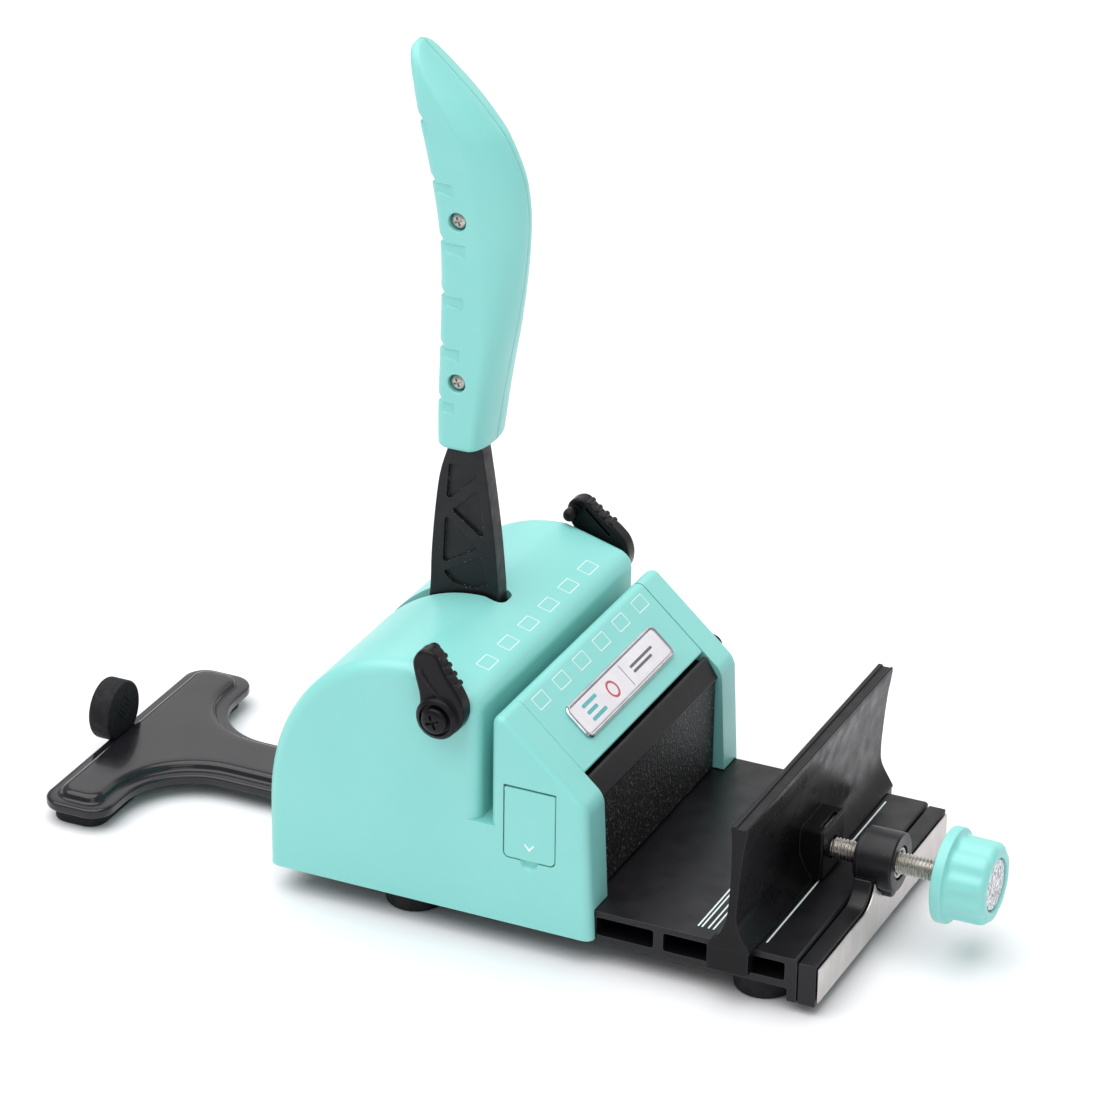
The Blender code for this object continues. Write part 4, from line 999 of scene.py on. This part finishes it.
def make_fence():
    """A moulded bar: flared foot, slim waist, and a top with a front lip and a shallow groove."""
    low, high = span("fence")
    foot = 16.3
    top = high.z
    front = [(74.1, foot), (74.3, 16.9), (77.4, 20.6), (79.3, 25.5), (80.0, 32.0), (80.25, 42.0), (80.1, 50.0)]
    lip = [(79.9, top - 1.0), (80.0, top - 0.3), (80.4, top), (81.3, top), (81.6, top - 0.5)]
    lip += [(83.6, top - 0.5), (83.9, top - 0.1), (84.35, top - 0.3)]
    rear = [(84.4, 51.6), (83.9, 48.0), (83.3, 44.0), (82.5, 35.0), (82.1, 27.0), (82.7, 22.6), (85.9, 17.0)]
    rear.append((85.9, foot))
    outline = smooth_outline(front, 6, closed=False) + lip + smooth_outline(rear, 6, closed=False)
    bar = prism("fence_bar", outline, "XZ", low.y, high.y)
    bevel(bar, 0.3, 3, 45)
    hook_inner = span("base_deck")[1].y + GAP
    for side in (-1, 1):
        near, far = sorted((side * hook_inner, side * (high.y - 0.02)))
        hook = prism("hook", rectangle((74.2, low.z), (85.8, foot + 1.0), 0.6, 4), "XZ", near, far)
        join(bar, hook)
    boss = block("screw_block", (81.5, -8.0, foot + 0.4), (high.x, 8.0, 31.5))
    bevel(boss, 0.8, 3)
    join(bar, boss)
    screw = joint_point("knob_spin")
    bore = rod(screw, "X", 84.6, 95.0, 3.3, 48)
    clip_slot = block("clip_slot", (86.6, -4.6, 18.6), (88.0, 4.6, 40.0))
    dress(cut(bar, bore, clip_slot), plastic, "fence_slider", "fence", sharp=30)


def make_thread():
    """The adjusting screw, with an M6 thread whose ridge climbs 1 mm a turn."""
    low, high = span("adjusting_screw")
    centre = joint_point("knob_spin")
    pitch, root, crest, sides, steps = 1.0, 2.42, 2.98, 40, 8
    start, end = 88.4, 122.0
    rings = []
    tail = [(low.x, 2.6), (low.x + 0.3, 2.9), (86.3, 2.9), (86.4, 2.0), (start - 0.2, 2.0)]
    for along, radius in tail:
        rings.append([spot("YZ", u, v, along) for u, v in arc(0, centre.z, radius, 0, 360, sides)[:-1]])
    for step in range(int((end - start) / pitch * steps) + 1):
        along = start + step * pitch / steps
        fade = min(1.0, (along - start) / pitch)
        ring = []
        for i in range(sides):
            turn = i / sides
            phase = abs(((along / pitch - turn) % 1.0) * 2 - 1)
            rise = min(max(1.25 * phase - 0.1, 0.0), 1.0)
            radius = root + (crest - root) * rise * fade
            angle = 2 * math.pi * turn
            ring.append(spot("YZ", radius * math.cos(angle), centre.z + radius * math.sin(angle), along))
        rings.append(ring)
    rings.append([spot("YZ", u, v, high.x) for u, v in arc(0, centre.z, root, 0, 360, sides)[:-1]])
    dress(loft("thread_rod", rings), zinc, "knob_screw", "adjusting_screw", sharp=80, flat=False)


def make_knob():
    """A flanged knob: ten scallops round the body, a rounded rim and a recess for the silver disc."""
    low, high = span("knob")
    centre = joint_point("knob_spin")
    flutes, sides = 10, 160
    flange = (high.y - low.y) / 2
    levels = [
        (low.x, flange - 0.7, 0), (low.x + 0.2, flange - 0.2, 0), (low.x + 0.6, flange, 0),
        (low.x + 2.7, flange, 0), (low.x + 3.1, flange - 0.2, 0), (low.x + 3.3, flange - 0.7, 0),
        (low.x + 3.4, 12.1, 0.2), (low.x + 3.8, 11.6, 0.7), (low.x + 4.6, 11.4, 1), (high.x - 2.3, 11.3, 1),
        (high.x - 1.4, 11.1, 1), (high.x - 0.7, 10.6, 0.9), (high.x - 0.2, 9.8, 0.6), (high.x, 9.0, 0.2),
        (high.x, 7.9, 0), (high.x - 0.15, 7.5, 0), (high.x - 0.5, 7.35, 0), (high.x - 1.8, 7.3, 0),
    ]
    rings = []
    for along, radius, share in levels:
        ring = []
        for i in range(sides):
            angle = 2 * math.pi * i / sides
            dip = 0.5 * (1 + math.cos(flutes * angle))
            spoke = radius - share * 0.6 * dip**1.5
            ring.append(spot("YZ", spoke * math.cos(angle), centre.z + spoke * math.sin(angle), along))
        rings.append(ring)
    knob = loft("fluted_knob", rings)
    bore = rod(centre, "X", 110.0, 126.3, 3.3, 48)
    dress(cut(knob, bore), mint, "knob_screw", "knob", sharp=40)
    cap_low, cap_high = span("knob_cap")
    radius = (cap_high.y - cap_low.y) / 2
    profile = [(cap_low.x, radius - 0.1), (cap_high.x - 0.35, radius), (cap_high.x - 0.1, radius - 0.2)]
    profile += [(cap_high.x, radius - 0.6), (cap_high.x, 0.5)]
    dress(turned("sparkle_disc", centre, "X", profile), flakes, "knob_screw", "knob_cap")


# ---------------------------------------------------------------- handle

GRIP_REAR = (
    (121.0, -25.2), (128.0, -25.3), (136.0, -25.2), (150.0, -24.8), (165.0, -24.5), (180.0, -24.9),
    (196.0, -27.3), (212.0, -30.9), (222.0, -33.6), (227.5, -35.0), (229.5, -35.3), (231.0, -34.6),
)
GRIP_FRONT = (
    (121.0, -11.9), (124.0, -11.4), (136.0, -9.6), (147.0, -7.6), (158.0, -5.6), (171.0, -3.7), (184.0, -2.8),
    (192.0, -3.3), (198.6, -4.9), (207.7, -9.4), (212.6, -13.4), (218.0, -18.6), (224.0, -25.2),
    (228.0, -29.8), (231.0, -33.2),
)
GRIP_NOSE = (
    (121.0, 3.4), (150.0, 5.0), (172.0, 8.0), (190.0, 10.5), (206.0, 9.5), (222.0, 5.5), (231.0, 0.7),
)
GRIP_NOTCHES = ((212.0, 2.6), (196.0, 7.0), (179.8, 8.2), (164.8, 7.6), (150.0, 6.6), (134.6, 5.6))
GRIP_HALF = 10.0
GRIP_TAPER_FROM = 208.0


def grip_half_width(z, top):
    if z <= GRIP_TAPER_FROM:
        return GRIP_HALF
    share = (z - GRIP_TAPER_FROM) / (top - GRIP_TAPER_FROM)
    return GRIP_HALF * math.sqrt(max(1 - share**2.4, 0.0))


def step_up(value, low, high):
    t = min(max((value - low) / (high - low), 0.0), 1.0)
    return t * t * (3 - 2 * t)


def notch_depth(x, z, rear):
    """How far the finger grooves press in at this height and this far in front of the rear edge."""
    depth = 0.0
    into = x - rear
    for place, reach in GRIP_NOTCHES:
        floor_low = place - 1.9 - 1.5 * min(into / reach, 1.0)
        side = step_up(z, floor_low - 0.25, floor_low + 0.35) * (1 - step_up(z, place - 0.1, place + 0.25))
        side *= 1 - step_up(into, reach - 0.3, reach + 0.1)
        back = step_up(z, place - 0.6, place - 0.1) * (1 - step_up(z, place - 0.1, place + 2.4))
        near_back = 1 - step_up(into, 0.6, 3.0)
        depth = max(depth, 0.6 * side * (1 - near_back), 1.1 * back * near_back)
    return depth


def grip_section(z, inset, top, side):
    """Half a horizontal section, from the rear middle round the side to the front middle."""
    rear, front = follow(GRIP_REAR, z) + inset, follow(GRIP_FRONT, z) - inset
    half = max(grip_half_width(z, top) - inset, 0.12)
    nose = min(follow(GRIP_NOSE, z), (front - rear) * 0.7)
    corner = min(3.4, half * 0.8, (front - rear) * 0.3)
    crease = math.radians(90 - 38 * step_up(z, 150, 196))
    points = [(rear + 0.14, 0.1), (rear, 0.32)]
    points += [(rear, half * share) for share in (0.2, 0.4)]
    for t in quarter(10):
        points.append((rear + corner - corner * math.cos(t), half - corner + corner * math.sin(t)))
    start, end = rear + corner, front - nose
    points += [(start + (end - start) * i / 16, half) for i in range(1, 17)]
    for i in range(1, 15):
        t = crease * (1 - i / 15)
        x = end + nose * (math.cos(t) - math.cos(crease)) / (1 - math.cos(crease))
        points.append((x, 0.32 + (half - 0.32) * math.sin(t) / math.sin(crease)))
    points += [(front, 0.32), (front - 0.14, 0.1)]
    pressed = []
    for x, y in points:
        depth = notch_depth(x, z, rear) if y > 0.12 else 0.0
        on_back = 1 - step_up(x - rear, 0.5, 2.6)
        pressed.append(spot("XY", x + depth * on_back, side * (y - depth * (1 - on_back)), z))
    return pressed


def make_grip():
    top = span("grip_left")[1].z - 0.05
    foot = 121.2
    edge = 1.4
    rings_at = [(foot + edge - edge * math.cos(t), edge - edge * math.sin(t)) for t in quarter(6)]
    body_top = 224.0
    count = 300
    rings_at += [(foot + edge + (body_top - foot - edge) * i / count, 0.0) for i in range(1, count + 1)]
    rings_at += [(body_top + (top - 0.02 - body_top) * math.sin(t), 0.0) for t in quarter(26)[1:]]
    tang_high = span("lever_plate")[1]
    slack = 0.35
    tang = (-22.6 - slack, -15.2 + slack)
    pocket = [(-9.0, 110.0), (-13.9, 118.0), (tang[1], 122.0), (tang[1], tang_high.z + slack)]
    pocket += [(tang[0], tang_high.z + slack), (tang[0], 122.0), (-25.4, 118.0), (-30.0, 110.0)]
    for side, word in SIDES:
        shell = loft(f"grip_shell_{word}", [grip_section(z, inset, top, side) for z, inset in rings_at])
        tools = [prism("pocket", pocket, "XZ", *sorted((-side * 0.5, side * (tang_high.y + GAP))))]
        for word_at in ("lower", "upper"):
            screw = middle(f"grip_screw_{word_at}")
            tools.append(rod(screw, "Y", side * 0.02, side * 7.4, 2.2, 32))
            if side < 0:
                well = [(-7.0, 2.5), (-9.75, 2.55), (-10.02, 2.85), (-12.0, 5.2)]
                tools.append(turned("well", screw, "Y", well, 48))
        dress(cut(shell, *tools), mint, "handle", f"grip_{word}", sharp=38, flat=False)


def make_lever():
    low, high = span("lever_plate")
    pivot = joint_point("handle_pivot")
    tang_rear, tang_front = -22.6, -15.2
    front = [(-15.4, 50.0), (-10.2, 63.0), (-9.4, 75.0), (-9.9, 84.0), (-11.0, 95.0), (-12.6, 107.0)]
    front.append((-14.3, 118.0))
    rear = [(-24.9, 118.0), (-27.2, 110.0), (-28.7, 98.0), (-29.6, 86.0), (-30.0, 75.0), (-31.6, 63.0)]
    rear.append((-34.4, 50.0))
    outline = arc(pivot.x, pivot.z, 9.0, 180, 360, 28) + smooth_outline(front, 4, closed=False)
    outline += [(tang_front, 122.0), (tang_front, high.z), (tang_rear, high.z), (tang_rear, 122.0)]
    outline += smooth_outline(rear, 4, closed=False)
    lever = prism("lever_casting", outline, "XZ", low.y, high.y)
    bevel(lever, 0.45, 3, 30)
    tools = [rod(pivot, "Y", -6.0, 6.0, 5.8, 48)]
    for word in ("lower", "upper"):
        tools.append(rod(middle(f"grip_screw_{word}"), "Y", -6.0, 6.0, 2.2, 32))
    pockets = [
        [(-24.3, 113.8, 0.8), (-25.1, 102.4, 0.8), (-15.9, 111.6, 1.0), (-16.4, 113.8, 1.0)],
        [(-23.4, 100.2, 0.7), (-15.4, 107.8, 1.0), (-13.7, 93.2, 0.8)],
        [(-25.4, 98.6, 0.8), (-26.1, 83.9, 0.8), (-15.2, 90.4, 0.9)],
        [(-26.0, 81.4, 0.7), (-14.6, 88.3, 1.0), (-12.4, 79.6, 1.2), (-17.9, 77.9, 3.0), (-22.9, 78.7, 2.0)],
    ]
    for side in (-1, 1):
        for pocket in pockets:
            floor, mouth = side * (high.y - 0.9), side * (high.y + 0.4)
            tools.append(prism("pocket", rounded(pocket, 5), "XZ", *sorted((floor, mouth))))
    cut(lever, *tools)
    dress(lever, cast, "handle", "lever_plate", sharp=30)


LEVER_KNOTS = (
    (-6.9, 66.4), (-5.3, 63.7), (-1.2, 61.9), (2.7, 63.2), (5.3, 66.6), (5.7, 71.0), (4.0, 75.0), (1.0, 79.2),
    (-0.8, 82.4), (-2.2, 85.0), (-4.4, 85.9), (-7.2, 85.2), (-8.9, 82.2), (-8.4, 78.2), (-7.0, 72.4),
)
LEVER_RIBS = ((-1.5, 83.6), (-0.2, 81.2), (1.3, 79.0), (2.9, 76.8))
LEVER_RIDGE = (
    (-7.2, 79.6), (-5.9, 77.6), (-3.2, 74.6), (0.6, 70.8),
    (1.4, 71.6), (-2.6, 75.8), (-5.3, 79.2), (-6.2, 81.4),
)
LEVER_GROOVE = ((-2.9, 82.6), (1.6, 73.4), (2.4, 73.8), (-2.1, 83.0))
LEVER_BOSS = ((54.0, 6.0), (56.4, 5.9), (57.0, 5.5), (57.4, 4.7), (57.2, 4.4), (56.6, 4.2), (56.5, 1.0))
FINGER = (-6.4, 82.6)
LEVER_LEAN = {"right": 0.0, "left": 22.0}


def to_side(side, profile):
    """A turned profile's places, measured out to one side of the machine."""
    return [(side * place, radius) for place, radius in profile]


def make_side_levers():
    """An arm on each side of the paper slot: a screw boss, a ribbed front edge and a finger that turns in."""
    for side, word in SIDES:
        pivot = joint_point(f"{word}_guide_pivot")
        turn = Matrix.Rotation(math.radians(LEVER_LEAN[word]), 2)

        def leaned(points, turn=turn, pivot=pivot):
            spokes = [turn @ Vector((x - pivot.x, z - pivot.z)) for x, z in points]
            return [(pivot.x + spoke.x, pivot.z + spoke.y) for spoke in spokes]

        near, far = sorted((side * (HALF_WIDTH + GAP), side * 55.6))
        arm = prism(f"guide_arm_{word}", leaned(smooth_outline(LEVER_KNOTS, 5)), "XZ", near, far)
        bevel(arm, 0.9, 4, 45)
        x, z = leaned([FINGER])[0]
        tip = [(47.9 - 1.9 * math.sin(t), max(1.9 * math.cos(t), 0.15)) for t in reversed(quarter(8))]
        near, far = sorted((side * 54.0, side * 56.0))
        tools = [
            turned("boss", pivot, "Y", to_side(side, LEVER_BOSS), 56),
            turned("finger", (x, 0, z), "Y", to_side(side, tip + [(54.4, 1.9)]), 32),
            bevel(prism("ridge", leaned(LEVER_RIDGE), "XZ", near, far), 0.35, 3, 30),
        ]
        rib = to_side(side, [(50.9, 0.5), (51.2, 0.8), (54.6, 0.8), (54.9, 0.5)])
        tools += [turned("rib", (x, 0, z), "Y", rib, 20) for x, z in leaned(LEVER_RIBS)]
        join(arm, *tools)
        groove = prism("groove", leaned(LEVER_GROOVE), "XZ", *sorted((side * 45.0, side * 51.8)))
        cut(arm, rod(pivot, "Y", side * 45.0, side * 60.0, 2.3, 32), groove)
        dress(arm, plastic, f"{word}_guide", f"side_lever_{word}", sharp=40)
        centre = Vector((pivot.x, side * 57.7, pivot.z))
        screw = cross_screw(f"guide_bolt_{word}", centre, "Y", side, 3.6, 1.9, 1.3, side * 46.5, 0.6)
        dress(screw, plastic, f"{word}_guide", f"side_lever_screw_{word}")


# ---------------------------------------------------------------- carried-over pieces, stage and camera

def finish_cad_nodes():
    """The inner works keep their CAD shapes and take the detailed materials."""
    for node in frame["nodes"].values():
        for place in node.material_slots:
            place.material = SLOT_FINISHES[place.material.name.split(".")[0]]


CAMERA_AT = Vector((482.66, -1041.23, 645.96))
AZIMUTH, ELEVATION, ROLL = (math.radians(value) for value in (24.67, 25.76, 0.82))
LENS = 156.2


def make_camera():
    data = bpy.data.cameras.new("camera")
    data.lens = LENS
    data.sensor_width = 36.0
    data.clip_start, data.clip_end = 0.05, 20.0
    camera = bpy.data.objects.new("camera", data)
    bpy.context.scene.collection.objects.link(camera)
    turn = (
        Matrix.Rotation(AZIMUTH, 4, "Z")
        @ Matrix.Rotation(math.pi / 2 - ELEVATION, 4, "X")
        @ Matrix.Rotation(ROLL, 4, "Z")
    )
    camera.matrix_world = Matrix.Translation(CAMERA_AT * MM) @ turn
    bpy.context.scene.camera = camera


def make_light(name, place, size, power, target=(0, 0, 0.06)):
    data = bpy.data.lights.new(name, "AREA")
    data.shape = "RECTANGLE"
    data.size, data.size_y = size
    data.energy = power
    light = bpy.data.objects.new(name, data)
    bpy.context.scene.collection.objects.link(light)
    light.location = place
    light.visible_camera = False
    light.rotation_euler = (Vector(target) - Vector(place)).to_track_quat("-Z", "Y").to_euler()


def make_sun(towards, spread, power):
    """A very wide soft light from one direction."""
    data = bpy.data.lights.new("soft_sun", "SUN")
    data.energy = power
    data.angle = math.radians(spread)
    sun = bpy.data.objects.new("soft_sun", data)
    bpy.context.scene.collection.objects.link(sun)
    sun.rotation_euler = Vector(towards).to_track_quat("Z", "Y").to_euler()


def make_stage():
    floor = prism("floor", arc(0, 0, 6000, 0, 360, 96)[:-1], "XY", -20.0, 0.0)
    floor_finish = Finish("pale_floor", (243, 243, 245), 0.65)
    floor_finish.tint(floor_finish.ramp(floor_finish.noise(300.0), 0.3, 0.7), (240, 240, 243), 0.5)
    floor.data.materials.append(floor_finish.material)
    world = bpy.data.worlds.new("studio")
    bpy.context.scene.world = world
    world.use_nodes = True
    sky = world.node_tree.nodes["Background"]
    sky.inputs["Color"].default_value = (1.0, 1.0, 1.0, 1.0)
    sky.inputs["Strength"].default_value = 0.42
    make_sun((-0.2, -0.16, 1.0), 75.0, 2.85)
    make_light("front_box", (0.9, -1.3, 1.2), (0.9, 0.9), 3.0)
    make_light("back_box", (0.0, 1.35, 0.75), (2.2, 0.9), 4.5)
    bpy.context.scene.view_settings.view_transform = "Standard"


make_camera()
make_stage()
finish_cad_nodes()
make_housing()
make_cover()
make_hatch()
make_hole_marks()
make_plug()
make_label()
make_deck()
make_feet()
make_end_plate()
make_stabiliser()
make_rest_bumper()
make_screws()
make_jaw()
make_fence()
make_thread()
make_knob()
make_grip()
make_lever()
make_side_levers()
